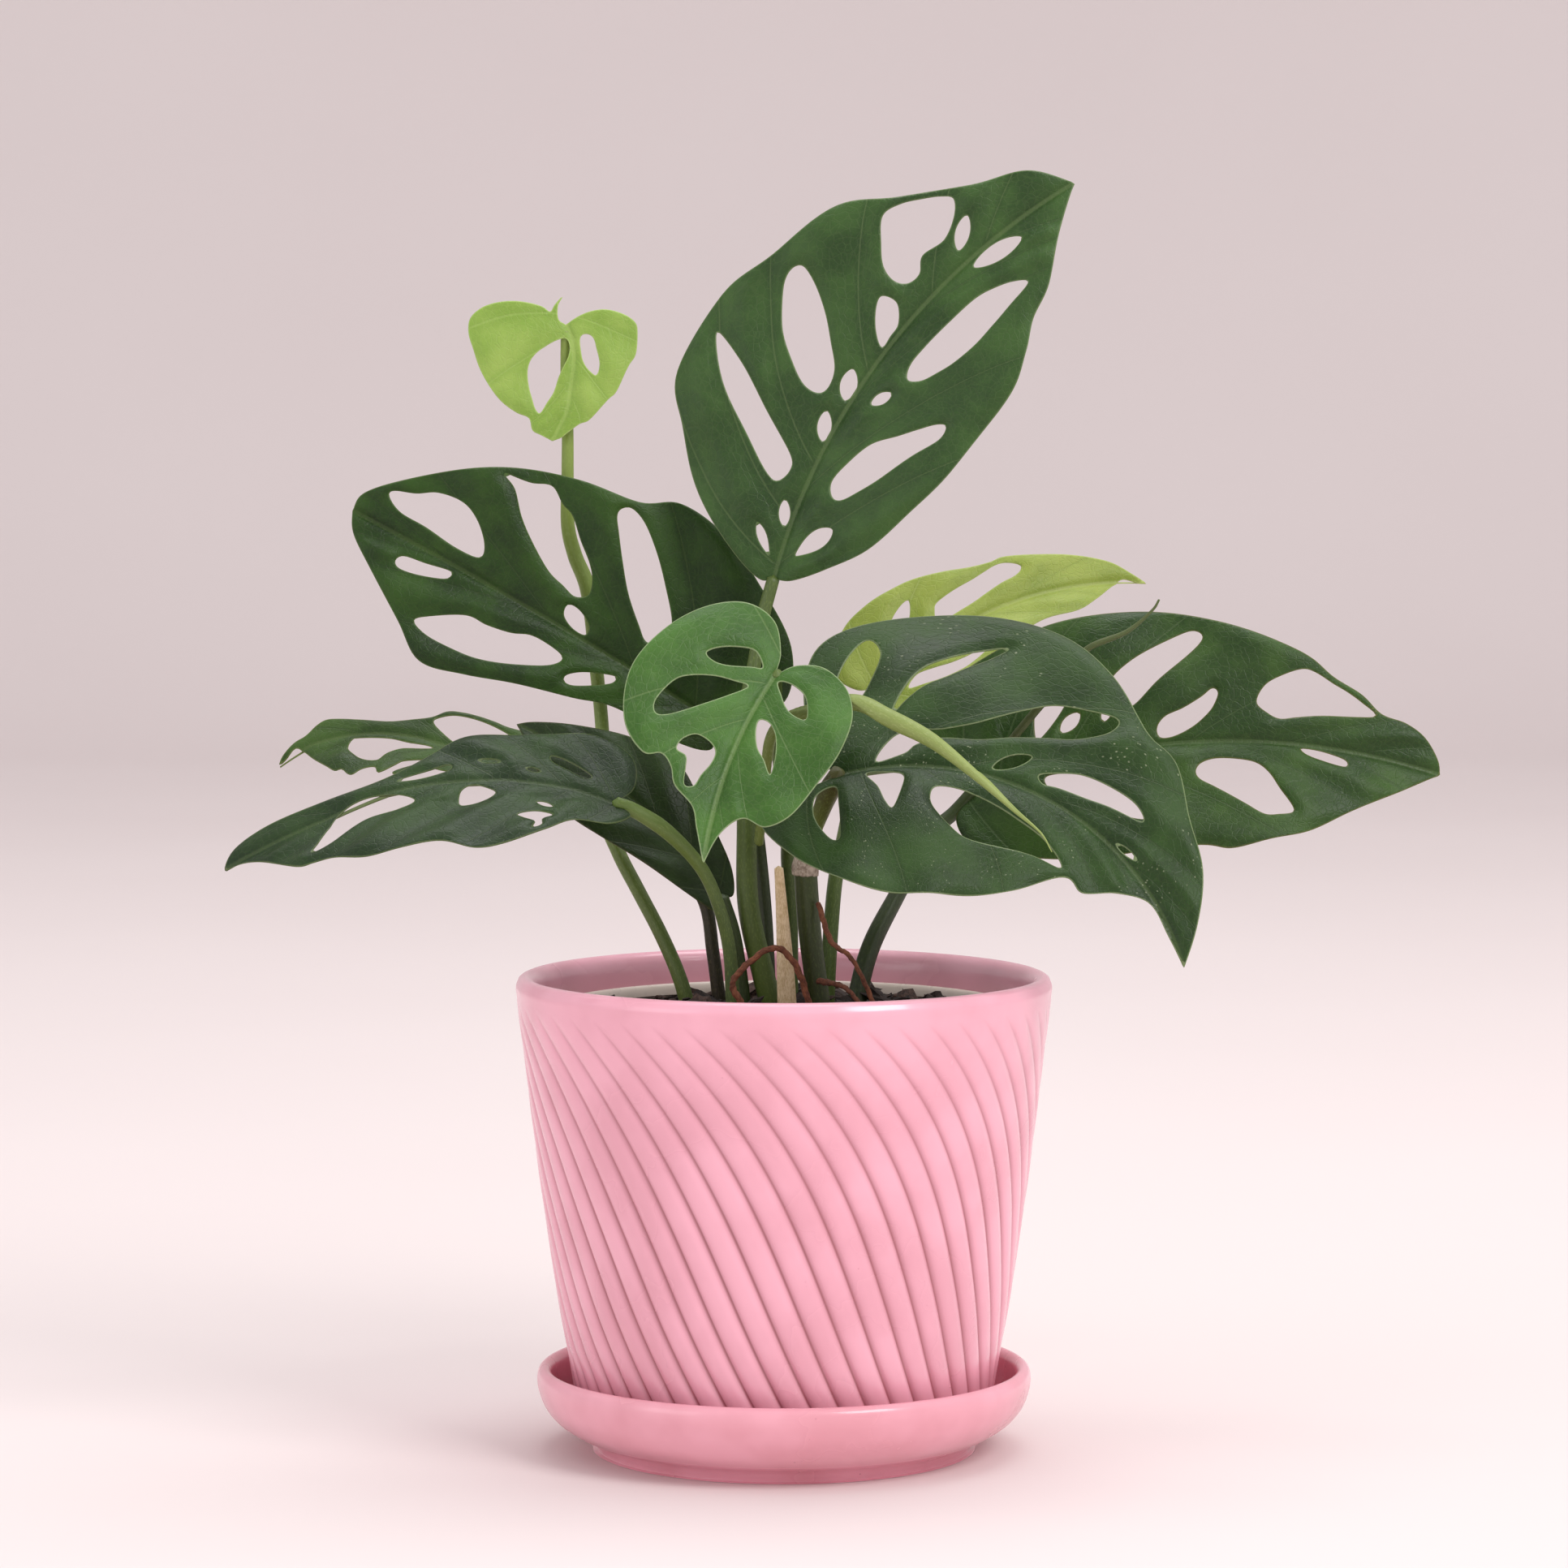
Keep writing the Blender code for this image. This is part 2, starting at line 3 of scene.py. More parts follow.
import bpy
import numpy as np
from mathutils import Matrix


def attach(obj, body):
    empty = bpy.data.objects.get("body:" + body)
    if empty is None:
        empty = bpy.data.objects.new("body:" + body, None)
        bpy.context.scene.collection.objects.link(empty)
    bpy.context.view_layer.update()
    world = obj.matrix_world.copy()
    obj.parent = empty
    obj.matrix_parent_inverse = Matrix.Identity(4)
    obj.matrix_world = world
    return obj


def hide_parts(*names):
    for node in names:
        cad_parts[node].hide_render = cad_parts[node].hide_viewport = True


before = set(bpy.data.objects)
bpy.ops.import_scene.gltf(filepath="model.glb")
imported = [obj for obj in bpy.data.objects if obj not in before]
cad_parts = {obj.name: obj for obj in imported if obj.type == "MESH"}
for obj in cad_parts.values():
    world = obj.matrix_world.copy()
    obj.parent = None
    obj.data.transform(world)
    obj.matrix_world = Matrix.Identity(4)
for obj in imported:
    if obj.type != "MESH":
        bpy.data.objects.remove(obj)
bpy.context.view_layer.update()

# ---------------------------------------------------------------------------------------------------
# Saucer. Slip-cast earthenware, thrown-bowl section with a thick rolled lip and a small flat foot.
# Fired with a glossy pink glaze, slightly patchy in tone, with fine pin marks.
MM = 0.001


def linear(code):
    """An sRGB hex colour such as "f0b2c1" as linear red, green, blue and alpha."""
    c = np.array([int(code[i:i + 2], 16) for i in (0, 2, 4)]) / 255.0
    return (*np.where(c <= 0.04045, c / 12.92, ((c + 0.055) / 1.055) ** 2.4).tolist(), 1.0)


def smooth_line(points, steps):
    """A Catmull-Rom curve: between two points each coordinate is the cubic whose end slopes are half the
    difference of the neighbouring points. Ends are included."""
    p = np.array(points, float)
    p = np.concatenate([[2 * p[0] - p[1]], p, [2 * p[-1] - p[-2]]])
    a, b, c, d = (p[i:len(p) - 3 + i, None] for i in range(4))
    t = (np.arange(steps) / steps)[None, :, None]
    curve = 0.5 * (2 * b + (c - a) * t + (2 * a - 5 * b + 4 * c - d) * t**2 + (3 * b - a - 3 * c + d) * t**3)
    return np.concatenate([curve.reshape(-1, p.shape[1]), p[-2:-1]])


def grid_faces(rows, columns, wrap=False):
    """Quads of a grid of rows by columns, each row closed on itself where wrap is set."""
    across = columns if wrap else columns - 1
    r, c = np.meshgrid(np.arange(rows - 1), np.arange(across), indexing="ij")
    n = (c + 1) % columns
    return np.stack([r * columns + c, r * columns + n, (r + 1) * columns + n, (r + 1) * columns + c], -1).reshape(-1, 4)


def put_mesh(name, points, quads, tris=None, marks=None, smooth=True):
    """Makes one object from points in millimetres, four- and three-cornered faces, and named point attributes."""
    mesh = bpy.data.meshes.new(name)
    tris = np.zeros((0, 3), int) if tris is None else tris
    loops = np.concatenate([np.ravel(quads), np.ravel(tris)]).astype(np.int32)
    sizes = np.concatenate([np.full(len(quads), 4), np.full(len(tris), 3)])
    mesh.vertices.add(len(points))
    mesh.vertices.foreach_set("co", (np.asarray(points, np.float32) * MM).ravel())
    mesh.loops.add(len(loops))
    mesh.loops.foreach_set("vertex_index", loops)
    mesh.polygons.add(len(sizes))
    mesh.polygons.foreach_set("loop_start", (np.cumsum(sizes) - sizes).astype(np.int32))
    mesh.polygons.foreach_set("use_smooth", np.full(len(sizes), smooth))
    for label, values in (marks or {}).items():
        kind = "FLOAT_VECTOR" if np.ndim(values) == 2 else "FLOAT"
        attribute = mesh.attributes.new(label, kind, "POINT")
        field = "vector" if kind == "FLOAT_VECTOR" else "value"
        attribute.data.foreach_set(field, np.asarray(values, np.float32).ravel())
    mesh.update(calc_edges=True)
    mesh.validate()
    piece = bpy.data.objects.new(name, mesh)
    bpy.context.scene.collection.objects.link(piece)
    return piece


def turned_mesh(name, profile, spokes, marks=None, swell=0.0, twist=0.0):
    """A profile of (radius, height) pairs carried round the vertical axis. swell pushes points out, and twist turns
    each row round the axis. The first and last pairs are poles, each closed with one point and a fan of triangles."""
    profile = np.asarray(profile, float)
    body = profile[1:-1]
    angle = np.arange(spokes) / spokes * 2 * math.pi
    radius, angle = body[:, :1] + swell + 0 * angle, angle + twist
    points = np.stack([radius * np.sin(angle), -radius * np.cos(angle), body[:, 1:] + 0 * angle], -1)
    quads = grid_faces(len(body), spokes, wrap=True)
    top, last, ring = len(body) * spokes, len(body) * spokes + 1, np.arange(spokes)
    after, base = (ring + 1) % spokes, (len(body) - 1) * spokes
    tris = np.concatenate([np.stack([np.full(spokes, top), after, ring], -1),
                           np.stack([np.full(spokes, last), base + ring, base + after], -1)])
    points = np.concatenate([points.reshape(-1, 3), [[0, 0, profile[0, 1]], [0, 0, profile[-1, 1]]]])
    marks = {k: np.append(np.broadcast_to(v, radius.shape).ravel(), [0, 0]) for k, v in (marks or {}).items()}
    return put_mesh(name, points, quads[:, ::-1], tris[:, ::-1], marks)


def new_material(name):
    """An empty node material with its Principled shader, whose tree add() fills."""
    made = bpy.data.materials.new(name)
    made.use_nodes = True
    return made, made.node_tree, made.node_tree.nodes["Principled BSDF"]


def add(tree, kind, settings=None, *values, out=None, **inputs):
    """Adds a node and gives its output, the one named by out or else the first that its settings leave on. values
    go to its inputs in their order, past any that its settings switch off, and a named input has _ for a space.
    Each value is a number, a colour or another node's output."""
    made = tree.nodes.new("ShaderNode" + kind)
    for key, value in (settings or {}).items():
        setattr(made, key, value)
    sockets = [socket for socket in made.inputs if socket.enabled][:len(values)]
    sockets += [made.inputs[key.replace("_", " ")] for key in inputs]
    for socket, value in zip(sockets, [*values, *inputs.values()]):
        if isinstance(value, bpy.types.NodeSocket):
            tree.links.new(value, socket)
        else:
            socket.default_value = value
    return made.outputs[out] if out else next(socket for socket in made.outputs if socket.enabled)


# Settings of the commonest nodes: two colours mixed by a share, a smooth rise from 0 at one value to 1 at another
# (or a fall, where the first is the higher), a product, and a product with a third value added.
MIXED, RISE = {"data_type": "RGBA"}, {"interpolation_type": "SMOOTHSTEP"}
TIMES, TIMES_PLUS = {"operation": "MULTIPLY"}, {"operation": "MULTIPLY_ADD"}


def pink_glaze(name, light, deep, painted_groove_shade=0.0):
    """Glossy pink glaze over earthenware: a clear glassy coat on an opaque pink body, a little patchy where the
    glaze is thicker, with fine pin marks. Painted shade darkens the grooves (attribute groove, 0 to 1) towards brownish
    pink."""
    made, tree, shader = new_material(name)
    place = add(tree, "TexCoord", out="Object")
    cloud = add(tree, "TexNoise", Vector=place, Scale=38.0, Detail=3.0, Roughness=0.5)
    colour = add(tree, "Mix", MIXED, add(tree, "MapRange", RISE, cloud, 0.35, 0.7), linear(light), linear(deep))
    groove = add(tree, "Attribute", {"attribute_name": "groove"}, out="Fac")
    # painted shade: the grooves darkened towards brownish pink, in place of the shadow that falls in them
    colour = add(tree, "Mix", MIXED, add(tree, "Math", TIMES, groove, painted_groove_shade), colour, linear("a8606a"))
    speck = add(tree, "TexVoronoi", Vector=place, Scale=260.0)
    speck = add(tree, "MapRange", RISE, speck, 0.10, 0.04)
    rare = add(tree, "TexNoise", Vector=place, Scale=55.0, Detail=1.0)
    speck = add(tree, "Math", TIMES, speck, add(tree, "MapRange", RISE, rare, 0.66, 0.72))
    colour = add(tree, "Mix", MIXED, add(tree, "Math", TIMES, speck, 0.45), colour, linear("96565c"))
    tree.links.new(colour, shader.inputs["Base Color"])
    wave = add(tree, "TexNoise", Vector=place, Scale=120.0, Detail=2.0)
    height = add(tree, "Math", TIMES_PLUS, wave, 1.0, add(tree, "Math", TIMES, speck, -0.8))
    bump = add(tree, "Bump", Strength=0.10, Distance=0.0006, Height=height)
    tree.links.new(bump, shader.inputs["Normal"])
    rough = add(tree, "MapRange", Value=cloud, From_Min=0.3, From_Max=0.7, To_Min=0.20, To_Max=0.30)
    tree.links.new(rough, shader.inputs["Roughness"])
    shader.inputs["IOR"].default_value = 1.5
    shader.inputs["Coat Weight"].default_value = 0.35
    shader.inputs["Coat Roughness"].default_value = 0.09
    return made


SAUCER_PROFILE = smooth_line(
    [(0.001, 5), (28, 5), (55, 5), (60, 5.9), (63.4, 9.3), (64.8, 14), (65.2, 19), (65.8, 22.2), (67.4, 23.6),
     (69.1, 22.7), (69.75, 20.4), (69.3, 17), (67.6, 12.6), (64.2, 8.6), (59, 5.3), (54.6, 3.4), (53.2, 1.6),
     (52.8, 0.5), (52.0, 0.0), (26, 0.0), (0.001, 0)], 6)
SAUCER_PROFILE[:, 1] = SAUCER_PROFILE[:, 1].clip(0)
saucer = turned_mesh("saucer_glazed", SAUCER_PROFILE, 256)
saucer.data.materials.append(pink_glaze("pink_glaze_on_saucer", "eea9b8", "e29ba8"))
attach(saucer, "root")
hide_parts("saucer")

# ---------------------------------------------------------------------------------------------------
# Pot. Press-moulded earthenware tub with forty-eight swirling ribs, thin grooves between them, a plain band
# and a rounded lip. The same pink glaze, with painted shade darkening it in the grooves.
RIBS, PER_RIB = 48, 12
RIB_TOP, RIB_FOOT, RIB_DEPTH = 129.0, 8.0, 1.25
outer = smooth_line([(74.6, 133.3), (75.35, 131.2), (75.15, 128.6), (74.7, 124), (73.0, 112), (70.9, 95), (68.3, 75),
                     (66.1, 60), (63.9, 45), (61.6, 32), (59.6, 21), (58.2, 12), (57.4, 8)], 8)
inner = smooth_line([(0.001, 11), (30, 11), (48, 11), (52.6, 12.6), (55.3, 25), (58.8, 45), (63.2, 75), (68.4, 118),
                     (69.2, 127), (69.6, 131), (70.7, 133.2), (72.6, 134.2), (74.0, 133.8)], 3)
under = np.array([(56.9, 6.2), (56.0, 5.5), (54.5, 5.4), (30, 5.4), (0.001, 5.4)])
POT_PROFILE = np.concatenate([inner, outer, under])
down = np.clip((RIB_TOP - POT_PROFILE[1:-1, 1]) / (RIB_TOP - RIB_FOOT), 0, 1)
on_outside = (np.arange(len(down)) >= len(inner) - 1) & (np.arange(len(down)) < len(inner) - 1 + len(outer))
rib_depth = RIB_DEPTH * on_outside * np.interp(down, [0, 0.012, 0.06, 0.2, 0.5, 0.95, 1], [0, 0, 0.35, 0.7, 1, 1, 0.4])


# Each rib is a broad arch, one minus a power of the distance from its middle. All turn with depth: 45 degrees
# at the top, steep in the middle and slanting again at the foot.
turn = (1.85 * (down - 1.01 * down**2 + 0.573 * down**3))[:, None]
across = (np.arange(RIBS * PER_RIB) / PER_RIB) % 1.0
arch = 1.0 - np.abs(2 * across - 1.0) ** 2.8
# groove marks the narrow grooves between the ribs, where the glaze colour is darkened as painted shade
groove = (np.abs(2 * across - 1.0) ** 7)[None] * (rib_depth / rib_depth.max())[:, None]
pot = turned_mesh("pot_swirl_fluted", POT_PROFILE, RIBS * PER_RIB, {"groove": groove},
                  rib_depth[:, None] * (arch - 0.72), turn)
pot.data.materials.append(pink_glaze("pink_glaze_on_pot", "f1afc0", "e6a3b3", 1.0))
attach(pot, "root")
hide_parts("pot")

# ---------------------------------------------------------------------------------------------------
# Nursery pot. Thin glossy cream polypropylene with a rolled rim, as the plant came from the grower.
# Slightly scuffed, with soil dust on the inner wall.
LINER_PROFILE = smooth_line(
    [(0.001, 13.2), (24, 13.2), (46, 13.2), (48.2, 14.6), (50.5, 30), (56.5, 73), (62.5, 117), (63.1, 122.5),
     (63.9, 124.9), (65.1, 125.5), (66.2, 124.6), (66.4, 122.6), (66.1, 121.2), (65.3, 120.9), (64.6, 119.6),
     (64.1, 116), (58, 73), (52, 30), (49.8, 13.6), (48.8, 11.7), (47.6, 11.4), (24, 11.4), (0.001, 11.4)], 4)
liner = turned_mesh("nursery_pot_cream", LINER_PROFILE, 192)
made, tree, shader = new_material("cream_polypropylene")
place = add(tree, "TexCoord", out="Object")
height = add(tree, "SeparateXYZ", Vector=place, out="Z")
dirt = add(tree, "TexNoise", Vector=place, Scale=160.0, Detail=5.0, Roughness=0.65)
low_down = add(tree, "MapRange", RISE, height, 0.1245, 0.1185)
dirty = add(tree, "Math", TIMES, add(tree, "MapRange", RISE, dirt, 0.46, 0.62), low_down)
colour = add(tree, "Mix", MIXED, add(tree, "Math", TIMES, dirty, 0.7), linear("d3c3b8"), linear("6b5647"))
tree.links.new(colour, shader.inputs["Base Color"])
rough = add(tree, "MapRange", Value=dirt, From_Min=0.35, From_Max=0.7, To_Min=0.22, To_Max=0.5)
tree.links.new(rough, shader.inputs["Roughness"])
shader.inputs["IOR"].default_value = 1.49
liner.data.materials.append(made)
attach(liner, "root")
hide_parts("nursery_pot")

# ---------------------------------------------------------------------------------------------------
# Soil. Moist peat and composted bark, filled to a finger's width below the rim: a crumbly surface with
# chips of bark lying on it.
rng = np.random.default_rng(11)


def bumps(x, y, waves, shortest, longest, seed):
    """A rough surface as a sum of waves in random directions, the longer ones taller. Heights are about -1 to 1."""
    pick = np.random.default_rng(seed)
    turn, phase = pick.uniform(0, 2 * math.pi, (2, waves))
    length = np.geomspace(shortest, longest, waves)
    cycles = np.multiply.outer(x, np.cos(turn) / length) + np.multiply.outer(y, np.sin(turn) / length)
    wave = np.sin(2 * math.pi * cycles + phase)
    return (wave * length**0.5).sum(-1) / (length**0.5).sum() * 2.2


SOIL_EDGE, SOIL_RADIUS, HEAP, CRUMB = 119.9, 61.0, 6.0, 2.0
rings, spokes = 90, 300
r = SOIL_RADIUS * (np.arange(1, rings + 1) / rings)[:, None]
a = (np.arange(spokes) / spokes * 2 * math.pi)[None]
x, y = r * np.cos(a), r * np.sin(a)
crumb = bumps(x, y, 40, 2.2, 22, 5)
z = SOIL_EDGE + HEAP * (1 - (r / SOIL_RADIUS) ** 2) + CRUMB * crumb * np.clip((SOIL_RADIUS - r) / 3, 0, 1)
top = np.stack([x, y, z], -1)
side = np.array([(61.2, 116.4), (56, 80), (49.9, 30.5), (46.2, 14.8), (45.2, 13.6)])
wall = np.stack([side[:, :1] * np.cos(a), side[:, :1] * np.sin(a), np.broadcast_to(side[:, 1:], (5, spokes))], -1)
points = np.concatenate([top.reshape(-1, 3), wall.reshape(-1, 3), [[0, 0, 119.9], [0, 0, 13.6]]])
n, ring = (rings + 5) * spokes, np.arange(spokes)
after = (ring + 1) % spokes
fans = np.concatenate([np.stack([np.full(spokes, n), ring, after], -1),
                       np.stack([np.full(spokes, n + 1), n - spokes + after, n - spokes + ring], -1)])
quads = grid_faces(rings + 5, spokes, wrap=True)[:, ::-1]

CHIPS = 330
fall, bearing = np.meshgrid(np.linspace(0, math.pi, 7)[1:-1], np.arange(8) / 8 * 2 * math.pi, indexing="ij")
unit = np.stack([np.sin(fall) * np.cos(bearing), np.sin(fall) * np.sin(bearing), np.cos(fall)], -1).reshape(-1, 3)
unit = np.concatenate([unit, [[0, 0, 1], [0, 0, -1]]])
ball_ring = np.arange(8)
ball_quads = grid_faces(5, 8, wrap=True)[:, ::-1]
ball_tris = np.concatenate([np.stack([np.full(8, 40), ball_ring, (ball_ring + 1) % 8], -1),
                            np.stack([np.full(8, 41), 32 + (ball_ring + 1) % 8, 32 + ball_ring], -1)])
spread = np.sqrt(rng.uniform(0.0, 1, CHIPS)) * 59
spin = rng.uniform(0, 2 * math.pi, CHIPS)
size = rng.gamma(2.2, 0.8, CHIPS).clip(0.8, 4.6)[:, None, None]
lumps = unit[None] * (1 + 0.35 * rng.standard_normal((CHIPS, len(unit), 1))).clip(0.45, 1.5)
lumps = lumps * size * rng.uniform([0.9, 0.6, 0.3], [1.7, 1.0, 0.6], (CHIPS, 3))[:, None]
lean, heading = rng.uniform(-0.7, 0.7, CHIPS)[:, None], rng.uniform(0, 2 * math.pi, CHIPS)[:, None]
lx, lz = (lumps[..., 0] * np.cos(lean) - lumps[..., 2] * np.sin(lean),
          lumps[..., 0] * np.sin(lean) + lumps[..., 2] * np.cos(lean))
ly = lumps[..., 1]
lx, ly = lx * np.cos(heading) - ly * np.sin(heading), lx * np.sin(heading) + ly * np.cos(heading)
cx, cy = spread * np.cos(spin), spread * np.sin(spin)
cz = SOIL_EDGE + HEAP * (1 - (spread / SOIL_RADIUS) ** 2) + CRUMB * bumps(cx, cy, 40, 2.2, 22, 5) + 0.25 * size[:, 0, 0]
chips = np.stack([lx + cx[:, None], ly + cy[:, None], lz + cz[:, None]], -1).reshape(-1, 3)
shift = len(points) + np.arange(CHIPS)[:, None, None] * len(unit)
is_bark = np.concatenate([np.zeros(len(points)), np.repeat(rng.uniform(0.3, 1, CHIPS), len(unit))])
points = np.concatenate([points, chips])
quads = np.concatenate([quads, (ball_quads[None] + shift).reshape(-1, 4)])
fans = np.concatenate([fans, (ball_tris[None] + shift).reshape(-1, 3)])
soil = put_mesh("soil_with_bark", points, quads, fans, {"bark": is_bark}, smooth=False)
made, tree, shader = new_material("peat_and_bark")
place = add(tree, "TexCoord", out="Object")
grain = add(tree, "TexNoise", Vector=place, Scale=900.0, Detail=4.0, Roughness=0.7)
bark = add(tree, "Attribute", {"attribute_name": "bark"}, out="Fac")
peat = add(tree, "Mix", MIXED, add(tree, "MapRange", RISE, grain, 0.3, 0.75), linear("150f0d"), linear("3a2b25"))
chip = add(tree, "Mix", MIXED, add(tree, "MapRange", RISE, grain, 0.3, 0.7), linear("2a1c18"), linear("5a4036"))
colour = add(tree, "Mix", MIXED, add(tree, "MapRange", RISE, bark, 0.5, 0.95), peat, chip)
tree.links.new(colour, shader.inputs["Base Color"])
tree.links.new(add(tree, "Bump", Strength=0.7, Distance=0.0008, Height=grain), shader.inputs["Normal"])
shader.inputs["Roughness"].default_value = 0.88
soil.data.materials.append(made)
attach(soil, "root")
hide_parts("soil")

# ---------------------------------------------------------------------------------------------------
# Stalks and canes. Living stems, round and slightly ribbed along their length, with a smooth waxy skin.
# Each rises from the soil, or from the node of another, and swells a little where it bends to its blade.


def tube_frame(path, steps):
    """A smooth path with, at each place, two directions square to it. The first keeps as close as it can to
    one fixed direction, so the section doesn't twist."""
    line = smooth_line(path, steps)
    along = np.gradient(line, axis=0)
    along /= np.linalg.norm(along, axis=1, keepdims=True)
    span = np.array(path[-1], float) - path[0]
    fixed = np.cross(span, [0.0, 1.0, 0.0]) if abs(span[1]) < 0.9 * np.linalg.norm(span) else np.array([1.0, 0, 0])
    first = fixed - (along @ fixed)[:, None] * along
    first /= np.linalg.norm(first, axis=1, keepdims=True)
    reach = np.concatenate([[0], np.cumsum(np.linalg.norm(np.diff(line, axis=0), axis=1))])
    return line, along, first, np.cross(along, first), reach


def tube(name, path, radii, steps=10, around=20, ridges=0.03, section=None):
    """A round rod along a smooth path. Radius follows the given list from end to end, times one plus small
    ridges round the section. Both ends close in a dome. Marks: way (share of the length, angle, millimetres)."""
    line, along, first, second, reach = tube_frame(path, steps)
    share = reach / reach[-1]
    radius = np.interp(share, np.linspace(0, 1, len(radii)), radii)
    dome = np.sin(np.linspace(0.12, math.pi / 2, 5))[:-1]
    line = np.concatenate([np.repeat(line[:1], 4, 0) - along[:1] * (radius[0] * 0.7 * (1 - dome))[:, None], line,
                           np.repeat(line[-1:], 4, 0) + along[-1:] * (radius[-1] * 0.7 * (1 - dome[::-1]))[:, None]])
    radius = np.concatenate([radius[0] * dome, radius, radius[-1] * dome[::-1]])
    share, reach = (np.concatenate([[v[0]] * 4, v, [v[-1]] * 4]) for v in (share, reach))
    first, second = (np.concatenate([[v[0]] * 4, v, [v[-1]] * 4]) for v in (first, second))
    turn = np.arange(around) / around * 2 * math.pi
    shape = 1 + ridges * np.sin(5 * turn) + 0.6 * ridges * np.sin(9 * turn + 1.0)
    wide = radius[:, None] * (section(share[:, None], turn[None]) if section else shape[None])
    outward = np.cos(turn)[None, :, None] * first[:, None] + np.sin(turn)[None, :, None] * second[:, None]
    points = line[:, None] + wide[..., None] * outward
    n, m = len(line) * around, np.arange(around)
    tris = np.concatenate([np.stack([np.full(around, n), (m + 1) % around, m], -1),
                           np.stack([np.full(around, n + 1), n - around + m, n - around + (m + 1) % around], -1)])
    points = np.concatenate([points.reshape(-1, 3), points[0].mean(0, keepdims=True),
                             points[-1].mean(0, keepdims=True)])
    way = np.stack([np.repeat(share, around), np.tile(turn, len(share)), np.repeat(reach, around)], -1)
    way = np.concatenate([way, [[0, 0, 0], [1, 0, reach[-1]]]])
    return put_mesh(name, points, grid_faces(len(line), around, wrap=True), tris, {"way": way})


def stem_skin(name, low, high, fleck, roughness=0.42):
    """Living stem skin with a thin wax bloom: one green at the foot passing to another at the top, with short
    paler flecks drawn out along the stem and a faint ribbing."""
    made, tree, shader = new_material(name)
    way = add(tree, "Attribute", {"attribute_name": "way"}, out="Vector")
    share, turn, reach = add(tree, "SeparateXYZ", Vector=way).node.outputs
    place = add(tree, "TexCoord", out="Object")
    patch = add(tree, "TexNoise", Vector=place, Scale=90.0, Detail=3.0)
    share = add(tree, "Math", {"operation": "ADD"}, share, add(tree, "Math", TIMES_PLUS, patch, 0.5, -0.25))
    colour = add(tree, "Mix", MIXED, add(tree, "MapRange", RISE, share, 0.1, 0.9), linear(low), linear(high))
    streak = add(tree, "CombineXYZ", X=add(tree, "Math", TIMES, turn, 2.2), Y=add(tree, "Math", TIMES, reach, 0.28))
    streak = add(tree, "TexNoise", Vector=streak, Scale=2.6, Detail=3.0, Roughness=0.6)
    flecked = add(tree, "Math", TIMES, add(tree, "MapRange", RISE, streak, 0.48, 0.75), 0.55)
    colour = add(tree, "Mix", MIXED, flecked, colour, linear(fleck))
    tree.links.new(colour, shader.inputs["Base Color"])
    tree.links.new(add(tree, "Bump", Strength=0.25, Distance=0.0004, Height=streak), shader.inputs["Normal"])
    shader.inputs["Roughness"].default_value = roughness
    shader.inputs["IOR"].default_value = 1.45
    shader.inputs["Subsurface Weight"].default_value = 0.12
    shader.inputs["Subsurface Radius"].default_value = (0.9, 1.2, 0.3)
    shader.inputs["Subsurface Scale"].default_value = 0.0015
    return made


